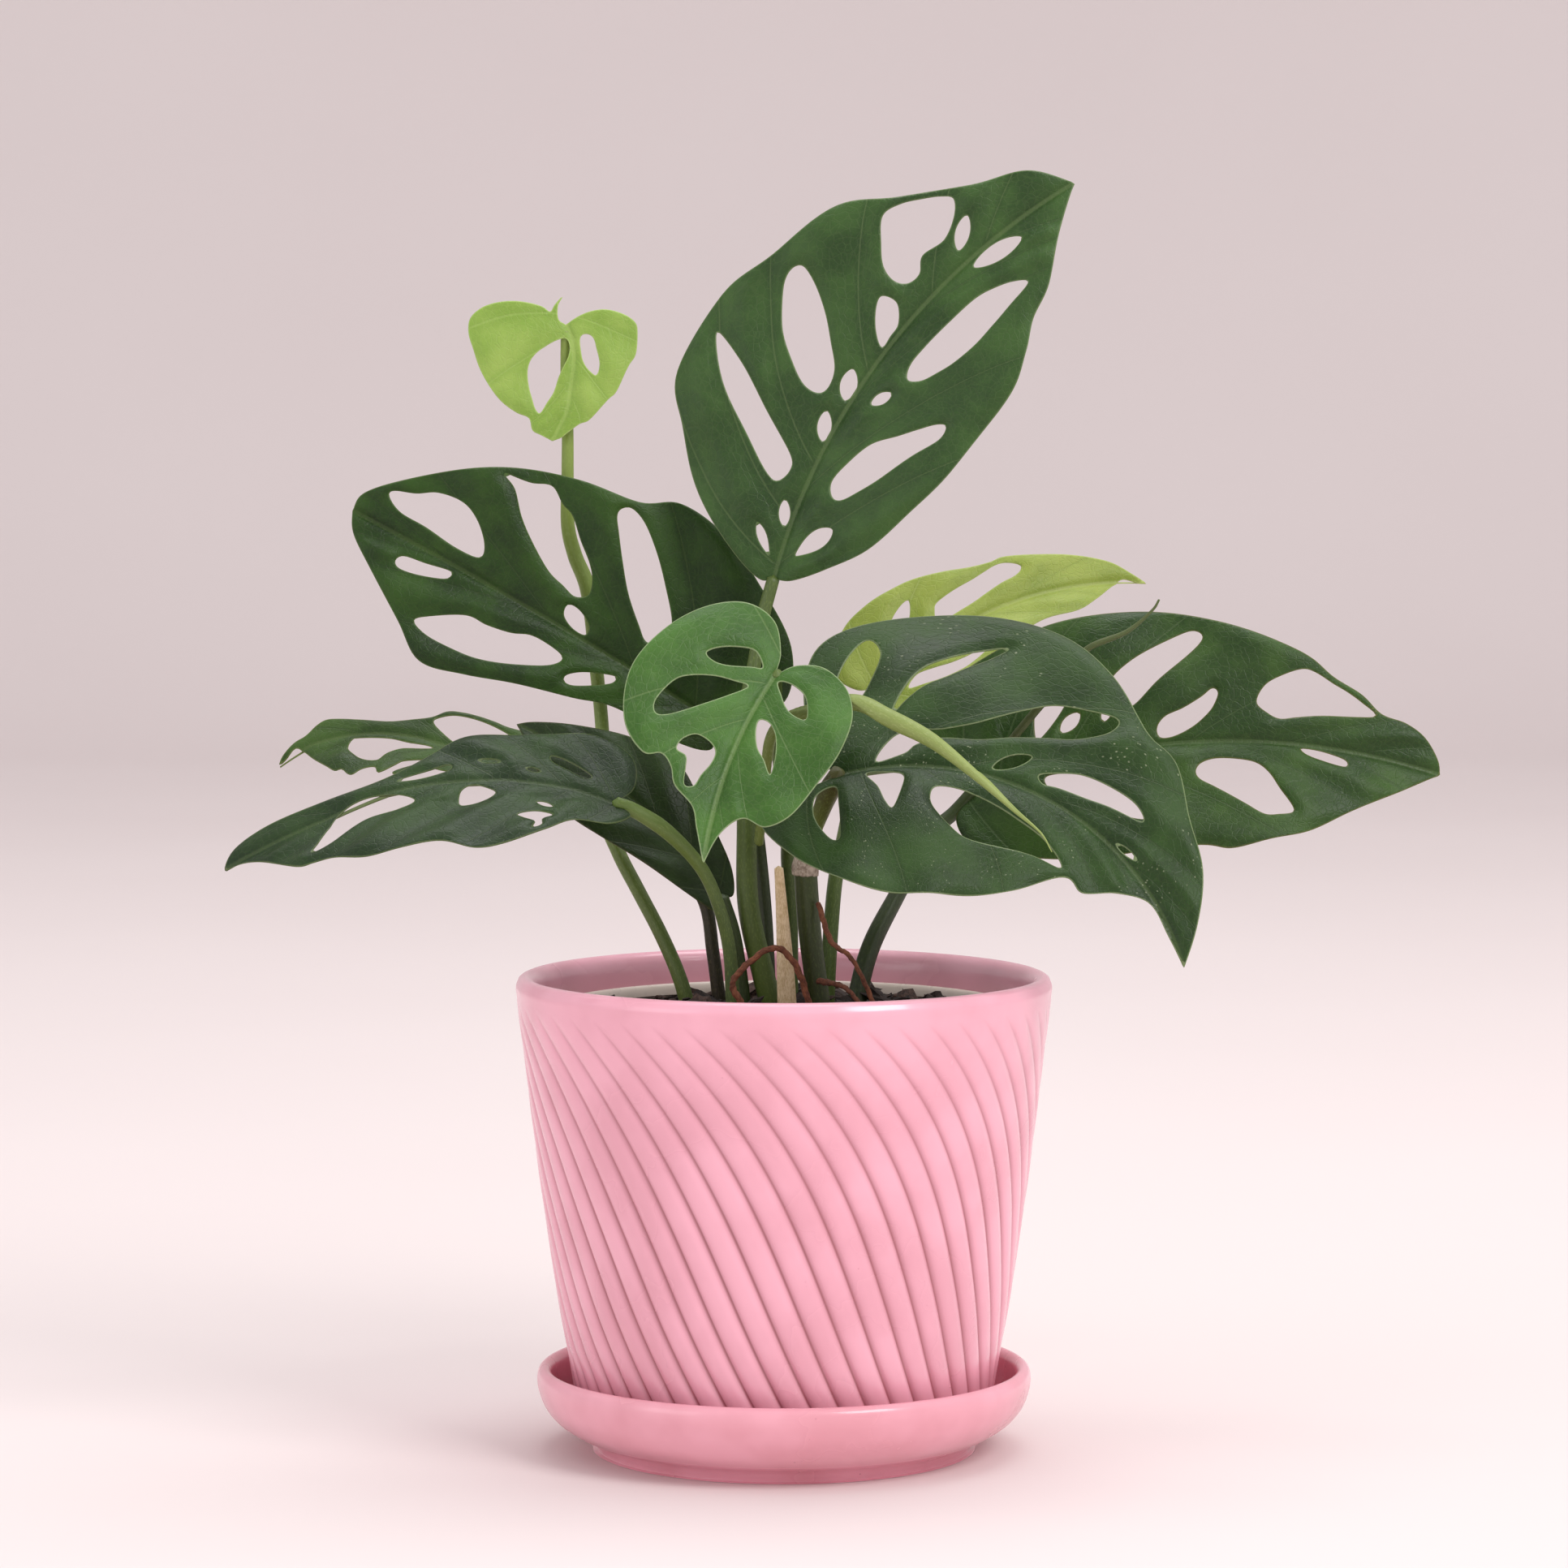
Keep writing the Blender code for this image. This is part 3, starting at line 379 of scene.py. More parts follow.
# foot to top in millimetres, radii foot to top, colours at the foot, at the top and of the flecks
STALKS = {
    "vine_stem": (
        [(-25, 5, 112), (-27, 5, 124), (-30, 6, 134), (-35, 9, 145), (-41, 13, 156), (-47, 18, 167), (-51, 23, 178),
         (-52, 31, 201), (-54, 37, 220), (-56, 38, 240), (-60, 38, 251), (-62, 38, 260), (-62, 38, 274), (-62, 39, 288),
         (-62.5, 40, 303), (-62.5, 39, 315)],
        [2.1, 2.1, 2.0, 2.0, 2.05, 2.0, 2.0, 1.95, 2.0, 2.35, 2.1, 1.8, 1.7, 1.6, 1.4], "5d7034", "7f9342", "93a45c"),
    "stalk_left_back_low": (
        [(-17, 8, 112), (-18, 8, 123), (-20, 8, 139), (-23, 8, 155), (-34, 9, 167), (-47, 11, 178), (-60, 12, 187)],
        [2.0, 1.9, 1.8, 1.6, 1.5], "3a3427", "3c4a22", "6f6a4a"),
    "stalk_left_front": (
        [(-13, -24, 112), (-14, -24, 126), (-15, -25, 143), (-18, -27, 156), (-23, -29, 167), (-32, -33, 177),
         (-41, -34.5, 183), (-46, -35, 185)],
        [2.1, 2.0, 1.9, 1.8, 1.8, 1.9, 2.2, 1.9], "42552a", "5f7434", "7d9148"),
    "stalk_edge_on": (
        [(-10, -10, 112), (-11, -10, 124), (-12, -10, 134), (-14, -11, 147), (-17, -12, 157)],
        [2.1, 2.0, 1.9, 1.7], "303d1c", "33431c", "56683a"),
    "stalk_tall": (
        [(-2, -8, 112), (-3, -8, 124), (-6, -8, 136), (-10, -8, 155), (-10.5, -5, 177), (-11, -2, 192), (-11, 2, 207),
         (-8, 6, 223), (-6, 9, 234), (-3, 10.5, 245)],
        [3.3, 3.2, 3.1, 3.0, 2.8, 2.5, 2.2, 2.0, 2.0, 1.8], "55682b", "4c5d2a", "7a8c46"),
    "stalk_left_back": (
        [(-4, 4, 112), (-4, 4, 122), (-5, 5, 148), (-7, 7, 170), (-9, 12, 181), (-14, 22, 194), (-22, 28.5, 205)],
        [1.9, 1.9, 1.8, 1.8, 1.7], "2f3b1b", "36441d", "56663a"),
    "stalk_front": (
        [(2, 12, 112), (2, 12, 122), (2, 12, 147), (1, 9, 166), (1, 4, 174), (-1, -12, 190), (-2, -28, 208),
         (-2, -39.5, 221)],
        [2.0, 2.0, 1.9, 1.8, 1.7, 1.5], "4a5d2c", "55692f", "788c4a"),
    "cane_right_front": (
        [(10.5, -15, 112), (10, -15, 125), (7.5, -15, 145), (6.5, -15, 157), (6, -15, 165)],
        [3.3, 3.2, 3.1, 3.2, 3.2], "26300f", "39461a", "55642f"),
    "stalk_pale": (
        [(12, 9, 112), (12, 9, 123), (13, 10, 142), (14.5, 14, 159), (17, 21, 171), (20, 30, 184), (25, 45, 200),
         (29, 56, 212.5)],
        [2.3, 2.2, 2.1, 2.0, 1.8, 1.6], "4e6229", "5c7133", "7f9450"),
    "stalk_right_back": (
        [(20, 2, 112), (20, 2, 123), (24, 6, 140), (32, 15, 155), (42, 28, 171), (49, 32, 177.5), (54, 32.5, 183)],
        [2.8, 2.7, 2.6, 2.3, 2.1, 1.9], "263113", "33421b", "4c5c2c"),
    "stalk_right_front": (
        [(6, -15, 164), (6.3, -15.3, 170), (8, -17, 175), (10, -21, 181), (12.5, -27, 188), (15, -33.5, 193)],
        [2.3, 2.1, 2.1, 2.5, 3.0, 2.6], "6b7f38", "4a4a26", "8d9a55"),
}
for name, (path, radii, low, high, fleck) in STALKS.items():
    stem = tube(name + "_skin", path, radii)
    stem.data.materials.append(stem_skin("living_skin_" + name, low, high, fleck))
    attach(stem, "root")
    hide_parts(name)

# ---------------------------------------------------------------------------------------------------
# Leaf blades. Living leaves, half a millimetre thick: dark satin green above, paler and duller below, with
# long openings between the side veins, a sunken midrib on top and a raised one beneath.
THICK = 0.5


def outline_of(leaf):
    """The margin in leaf millimetres (along the midrib, across it), anticlockwise: base, right, tip, left."""
    tip = (float(leaf["length"]), 0.0)
    right = smooth_line([(0.0, 0.0), *leaf["right"], tip], 8)
    left = smooth_line([(0.0, 0.0), *leaf["left"], tip], 8)
    return np.concatenate([right, left[::-1][1:-1]])


def opening_of(hole):
    """An opening: either closed through its points by a smooth curve, or a lens from an inner to an outer point.
    Half the lens's width is the 0.62th power of a sine, so its ends are round, and its fullest place is set."""
    if isinstance(hole, list):
        ring = smooth_line([hole[-1], *hole, hole[0], hole[1]], 8)
        return ring[8:-8 - 1]
    u1, v1, u2, v2, width, fullest = hole
    a, b = np.array([u1, v1], float), np.array([u2, v2], float)
    along = (b - a) / np.hypot(*(b - a))
    across = np.array([-along[1], along[0]])
    t = 0.5 - 0.5 * np.cos(np.linspace(0.0, math.pi, 25))
    half = 0.5 * width * np.sin(math.pi * t ** (math.log(0.5) / math.log(fullest))).clip(0) ** 0.62
    upper = a + np.outer(t, b - a) + np.outer(half, across)
    lower = a + np.outer(t, b - a) - np.outer(half, across)
    return np.concatenate([lower, upper[::-1][1:-1]])


def depth_in(ring, points):
    """Distance of points inside a closed outline from it, negative outside, and the nearest place on it."""
    a, b = ring, np.roll(ring, -1, 0)
    side = b - a
    best, near, crossings = np.full(len(points), 1e9), np.zeros((len(points), 2)), np.zeros(len(points), int)
    for i in range(0, len(a), 40):
        p, q, d = a[None, i:i + 40], b[None, i:i + 40], side[None, i:i + 40]
        rel = points[:, None] - p
        t = ((rel * d).sum(-1) / np.maximum((d * d).sum(-1), 1e-12)).clip(0, 1)
        foot = p + t[..., None] * d
        gap = np.linalg.norm(points[:, None] - foot, axis=-1)
        least = gap.argmin(1)
        pick = np.arange(len(points))
        better = gap[pick, least] < best
        best = np.where(better, gap[pick, least], best)
        near = np.where(better[:, None], foot[pick, least], near)
        x, y = points[:, None, 0], points[:, None, 1]
        spans = (p[..., 1] > y) != (q[..., 1] > y)
        rise = np.where(spans, q[..., 1] - p[..., 1], 1.0)
        crossings += (spans & (x < p[..., 0] + (y - p[..., 1]) / rise * (q[..., 0] - p[..., 0]))).sum(1)
    return np.where(crossings % 2 == 1, best, -best), near


def trimmed_grid(leaf, pitch):
    """A square grid cut along the margin and round each opening. Grid points close to an edge move onto it, and
    cells that an edge crosses are cut there. Gives flat points, depth from the nearest edge, quads and triangles."""
    ring, holes = outline_of(leaf), [opening_of(h) for h in leaf["holes"]]
    lowest, highest = ring.min(0) - 2 * pitch, ring.max(0) + 2 * pitch
    u = np.arange(math.floor(lowest[0] / pitch), math.ceil(highest[0] / pitch) + 1) * pitch
    v = np.arange(math.floor(lowest[1] / pitch), math.ceil(highest[1] / pitch) + 1) * pitch
    flat = np.stack(np.meshgrid(u, v, indexing="ij"), -1).reshape(-1, 2)
    depth, near = depth_in(ring, flat)
    for hole in holes:
        close = ((flat > hole.min(0) - 9) & (flat < hole.max(0) + 9)).all(1)
        d, n = depth_in(hole, flat[close])
        smaller = -d < depth[close]
        depth[close] = np.where(smaller, -d, depth[close])
        near[close] = np.where(smaller[:, None], n, near[close])
    snap = np.abs(depth) < 0.3 * pitch
    flat[snap], depth[snap] = near[snap], 0.0
    kept, number = depth >= 0, np.arange(len(flat)).reshape(len(u), len(v))
    cuts, total = [], len(flat)
    for p, q in ((number[:, :-1], number[:, 1:]), (number[:-1], number[1:])):
        crossed = (kept[p] != kept[q]) & (depth[p] != 0) & (depth[q] != 0)
        index = np.where(kept[p], p, q)
        index[crossed] = total + np.arange(crossed.sum())
        share = (depth[p] / np.where(crossed, depth[p] - depth[q], 1.0))[crossed][:, None]
        cuts.append((index, flat[p[crossed]] * (1 - share) + flat[q[crossed]] * share))
        total += int(crossed.sum())
    across, along = cuts[0][0], cuts[1][0]
    cell = np.stack([number[:-1, :-1], number[1:, :-1], number[1:, 1:], number[:-1, 1:],
                     along[:, :-1], across[1:], along[:, 1:], across[:-1]], -1).reshape(-1, 8)
    code = (kept[cell[:, :4]] * [1, 2, 4, 8]).sum(1)
    quads, tris = cell[code == 15][:, :4], []
    for case in range(1, 15):
        held = [bool(case >> i & 1) for i in range(4)]
        loop = [j for i in range(4)
                for j in ([i] if held[i] else []) + ([4 + i] if held[i] != held[(i + 1) % 4] else [])]
        tris += [cell[code == case][:, [loop[0], loop[k], loop[k + 1]]] for k in range(1, len(loop) - 1)]
    tris = np.concatenate(tris)
    tris = tris[(tris[:, 0] != tris[:, 1]) & (tris[:, 1] != tris[:, 2]) & (tris[:, 2] != tris[:, 0])]
    flat = np.concatenate([flat, cuts[0][1], cuts[1][1]])
    depth = np.concatenate([depth, np.zeros(total - len(depth))])
    used, again = np.unique(np.concatenate([quads.ravel(), tris.ravel()]), return_inverse=True)
    return flat[used], depth[used].clip(0), again[:quads.size].reshape(-1, 4), again[quads.size:].reshape(-1, 3)


def bend_blade(leaf, u, v):
    """Carries flat leaf millimetres onto the arched blade. The midrib is a curve of steady bend, down by arch and
    sideways by sweep in all, and each half leaves it at its fold angle and curls steadily towards its margin."""
    length = leaf["length"]
    arch, sweep = np.radians(leaf["arch"]), np.radians(leaf["sweep"])
    g = np.linspace(-60.0, length + 40.0, 4 * int(length + 100) + 1)
    a, b = arch * g / length, sweep * g / length
    forward = np.stack([np.cos(a) * np.cos(b), np.cos(a) * np.sin(b), -np.sin(a)], -1)
    left = np.stack([-np.sin(b), np.cos(b), 0 * b], -1)
    up = np.cross(forward, left)
    spine = np.cumsum(forward, 0) * (g[1] - g[0])
    spine -= spine[np.argmin(np.abs(g))]

    def at(table):
        return np.stack([np.interp(u, g, table[:, i]) for i in range(3)], -1)

    side = v >= 0
    fold = np.radians(np.where(side, *leaf.get("fold", (12, 12))))
    curl = np.radians(np.where(side, *leaf.get("curl", (-15, -15)))) / 40.0
    end = fold + curl * np.abs(v)
    out = (np.sin(end) - np.sin(fold)) / curl
    lift = (np.cos(fold) - np.cos(end)) / curl
    local = at(spine) + (np.sign(v) * out)[:, None] * at(left) + lift[:, None] * at(up)
    heading, pitch, roll = np.radians(leaf["turn"])
    x = np.array([np.cos(heading) * np.cos(pitch), np.sin(heading) * np.cos(pitch), np.sin(pitch)])
    y0 = np.array([-np.sin(heading), np.cos(heading), 0.0])
    z0 = np.cross(x, y0)
    y, z = np.cos(roll) * y0 + np.sin(roll) * z0, -np.sin(roll) * y0 + np.cos(roll) * z0
    return np.array(leaf["base"], float) + local @ np.stack([x, y, z])


def midrib_at(leaf, u):
    """How far the midrib lies to the side at each length: a line through the leaf's own points, or straight."""
    return np.interp(u, *np.array(leaf.get("mid", [(0, 0), (1, 0)]), float).T)


def vein_phase(leaf, u, v):
    """Which gap between side veins a point lies in, counted along the midrib, with the share of the way across it,
    and the width of that gap. A side vein starts at its own place and leans towards the tip, more so further out."""
    v = v - midrib_at(leaf, u)
    phase, gap = np.zeros(len(u)), np.ones(len(u))
    for side, veins in ((1, leaf["veins"][0]), (-1, leaf["veins"][1])):
        here = (v * side > 0) | ((v == 0) & (side == 1))
        starts = [(veins[0][0] - 14, veins[0][1] - 0.3), *veins, (leaf["length"] + 14, veins[-1][1])]
        w = np.abs(v[here])
        lines = np.array([s + lean * w + 0.006 * w**2 for s, lean in starts])
        lines = np.maximum.accumulate(lines + 1e-3 * np.arange(len(starts))[:, None], 0)
        i = (u[here][None] >= lines).sum(0).clip(1, len(starts) - 1) - 1
        low, high = np.take_along_axis(lines, i[None], 0)[0], np.take_along_axis(lines, i[None] + 1, 0)[0]
        gap[here] = np.maximum(high - low, 0.5)
        phase[here] = i + ((u[here] - low) / gap[here]).clip(0, 1)
    return phase, gap


def relief(leaf, u, v, depth):
    """Height of the upper side above the plain bent blade: tissue puffed between the side veins as the square of a
    sine, a narrow trough over the midrib, and a slow wave that grows towards the margin."""
    phase, gap = vein_phase(leaf, u, v)
    aside = v - midrib_at(leaf, u)
    w = np.abs(aside)
    puff = leaf.get("puff", 1.0) * np.sin(math.pi * phase) ** 2 * (gap / 14).clip(0.2, 1.2)
    puff *= (w / 6).clip(0, 1) * (depth / 3).clip(0, 1) ** 0.7
    wave = leaf.get("wave", 0.8) * (w / 30).clip(0, 1) ** 1.5 * np.sin(u / 7.3 + 0.11 * v + leaf["length"])
    return puff + wave - 0.55 * np.exp(-(aside / 1.1) ** 2), phase, gap


def on_blade(leaf, u, v, height):
    """Points at a height above the plain bent blade, square to it, and those directions."""
    step = 0.2
    middle = bend_blade(leaf, u, v)
    one = bend_blade(leaf, u + step, v) - bend_blade(leaf, u - step, v)
    side = np.where(v >= 0, step, -step)
    two = (bend_blade(leaf, u, v + side) - middle) * np.sign(side)[:, None]
    up = np.cross(one, two)
    up /= np.linalg.norm(up, axis=1, keepdims=True)
    return middle + up * np.asarray(height)[:, None], up


def make_blade(name, leaf, pitch=0.7):
    """One leaf blade as a closed shell: the trimmed grid on its relief, the same half a millimetre lower, a rim of
    quads between them, and under the midrib a half-sunk rib that tapers to the tip."""
    flat, depth, quads, tris = trimmed_grid(leaf, pitch)
    u, v = flat.T
    height, phase, gap = relief(leaf, u, v, depth)
    top, up = on_blade(leaf, u, v, height)
    thin = THICK * (0.45 + 0.55 * (depth / 1.2).clip(0, 1))
    count = len(top)
    ends = np.concatenate([np.stack([f[:, i], f[:, (i + 1) % f.shape[1]]], -1)
                           for f in (quads, tris) for i in range(f.shape[1])])
    key = np.sort(ends, 1) @ [count, 1]
    _, where, times = np.unique(key, return_index=True, return_counts=True)
    rim = ends[where[times == 1]]
    rim = np.stack([rim[:, 1], rim[:, 0], rim[:, 0] + count, rim[:, 1] + count], -1)
    length, around = leaf["length"], 12
    s = np.linspace(0, 1, 90)
    ru = s * (length - 0.5)
    ridge_radius = leaf.get("rib", 1.25) * (1 - 0.82 * s**0.8)
    rv = midrib_at(leaf, ru)
    rz = relief(leaf, ru, rv, 0 * ru + 9)[0] - THICK
    mid, out = on_blade(leaf, ru, rv, rz)
    along = np.gradient(mid, axis=0)
    along /= np.linalg.norm(along, axis=1, keepdims=True)
    across = np.cross(out, along)
    turn = np.arange(around) / around * 2 * math.pi
    ring = np.cos(turn)[None, :, None] * across[:, None] + 0.9 * np.sin(turn)[None, :, None] * out[:, None]
    rib = mid[:, None] + ridge_radius[:, None, None] * ring
    rib -= out[:, None] * (ridge_radius * 0.62)[:, None, None]
    rib_faces = grid_faces(len(s), around, wrap=True)[:, ::-1] + 2 * count
    n, m = 2 * count + len(s) * around, np.arange(around)
    caps = np.concatenate([np.stack([np.full(around, n), 2 * count + m, 2 * count + (m + 1) % around], -1),
                           np.stack([np.full(around, n + 1), n - around + (m + 1) % around, n - around + m], -1)])
    points = np.concatenate([top, top - up * thin[:, None], rib.reshape(-1, 3),
                             rib[0].mean(0)[None], rib[-1].mean(0)[None]])
    extra = len(points) - 2 * count
    place = np.stack([u, v - midrib_at(leaf, u), depth], -1)
    marks = {"leaf": np.concatenate([place, place, np.tile([0, 0, 5.0], (extra, 1))]),
             "vein": np.concatenate([np.stack([phase, gap, height], -1)] * 2 + [np.tile([0.5, 9.0, 0], (extra, 1))])}
    made = put_mesh(name, points, np.concatenate([quads, quads[:, ::-1] + count, rim, rib_faces]),
                    np.concatenate([tris, tris[:, ::-1] + count, caps]), marks)
    under = np.concatenate([np.zeros(len(quads)), np.ones(len(quads)), np.zeros(len(rim)), np.ones(len(rib_faces)),
                            np.zeros(len(tris)), np.ones(len(tris)), np.ones(len(caps))]).astype(np.int32)
    made.data.polygons.foreach_set("material_index", under)
    return made


def leaf_skin(name, deep, light, vein, edge, roughness=0.4, dust=0.0, under=False, pale=0.3):
    """Living leaf skin: a waxy cuticle over mottled green tissue, with painted shade along the sunken side veins
    on the upper side, a pale midrib, a thread of pale margin and the fine net of small veins. dust adds dry specks
    of splashed water."""
    made, tree, shader = new_material(name)
    place = add(tree, "TexCoord", out="Object")
    leaf = add(tree, "Attribute", {"attribute_name": "leaf"}, out="Vector")
    _, v, depth = add(tree, "SeparateXYZ", Vector=leaf).node.outputs
    vein_place = add(tree, "Attribute", {"attribute_name": "vein"}, out="Vector")
    phase, gap, _ = add(tree, "SeparateXYZ", Vector=vein_place).node.outputs
    off_rib = add(tree, "Math", {"operation": "ABSOLUTE"}, v)
    off_vein = add(tree, "Math", TIMES, add(tree, "Math", {"operation": "PINGPONG"}, phase, 0.5), gap)
    cloud = add(tree, "TexNoise", Vector=place, Scale=55.0, Detail=4.0, Roughness=0.55)
    colour = add(tree, "Mix", MIXED, add(tree, "MapRange", RISE, cloud, 0.32, 0.72), linear(deep), linear(light))
    grain = add(tree, "TexNoise", Vector=leaf, Scale=1.1, Detail=3.0, Roughness=0.65)
    grainy = add(tree, "Math", TIMES, add(tree, "MapRange", RISE, grain, 0.45, 0.75), 0.35)
    colour = add(tree, "Mix", MIXED, grainy, colour, linear(light))
    # painted shade: the upper skin darkened along the sunken side veins, where the creases fall into shadow
    shade = add(tree, "MapRange", RISE, off_vein, 2.6, 0.2)
    colour = add(tree, "Mix", MIXED, add(tree, "Math", TIMES, shade, 0.0 if under else 0.45), colour, linear(deep))
    net = add(tree, "TexVoronoi", {"feature": "DISTANCE_TO_EDGE"}, Vector=leaf, Scale=0.42)
    net = add(tree, "MapRange", RISE, net, 0.10, 0.0)
    colour = add(tree, "Mix", MIXED, add(tree, "Math", TIMES, net, 0.22 if under else 0.07), colour, linear(vein))
    clear_of_rib = add(tree, "MapRange", RISE, off_rib, 0.3, 2.0)
    line = add(tree, "Math", TIMES, add(tree, "MapRange", RISE, off_vein, 0.45, 0.1), clear_of_rib)
    colour = add(tree, "Mix", MIXED, add(tree, "Math", TIMES, line, 0.6 if under else 0.22), colour, linear(vein))
    rib = add(tree, "MapRange", RISE, off_rib, 0.85, 0.25)
    colour = add(tree, "Mix", MIXED, add(tree, "Math", TIMES, rib, 0.7 if under else pale), colour, linear(vein))
    thread = add(tree, "MapRange", RISE, depth, 0.4, 0.1)
    colour = add(tree, "Mix", MIXED, add(tree, "Math", TIMES, thread, 0.6), colour, linear(edge))
    if dust:
        speck = add(tree, "TexVoronoi", Vector=leaf, Scale=0.55)
        rare = add(tree, "TexNoise", Vector=leaf, Scale=0.09, Detail=2.0)
        rare = add(tree, "MapRange", RISE, rare, 0.5, 0.62)
        speck = add(tree, "Math", TIMES, add(tree, "MapRange", RISE, speck, 0.2, 0.1), rare)
        colour = add(tree, "Mix", MIXED, add(tree, "Math", TIMES, speck, dust), colour, linear("9aa183"))
    tree.links.new(colour, shader.inputs["Base Color"])
    level = add(tree, "Math", TIMES_PLUS, net, -0.5, add(tree, "Math", TIMES_PLUS, line, -0.8, grain))
    tree.links.new(add(tree, "Bump", Strength=0.35, Distance=0.0003, Height=level), shader.inputs["Normal"])
    rough = add(tree, "MapRange", None, cloud, 0.3, 0.7, roughness - 0.05, roughness + 0.09)
    tree.links.new(rough, shader.inputs["Roughness"])
    shader.inputs["IOR"].default_value = 1.42
    shader.inputs["Specular IOR Level"].default_value = 0.35
    shader.inputs["Subsurface Weight"].default_value = 0.10
    shader.inputs["Subsurface Radius"].default_value = (0.5, 1.0, 0.2)
    shader.inputs["Subsurface Scale"].default_value = 0.0012
    return made


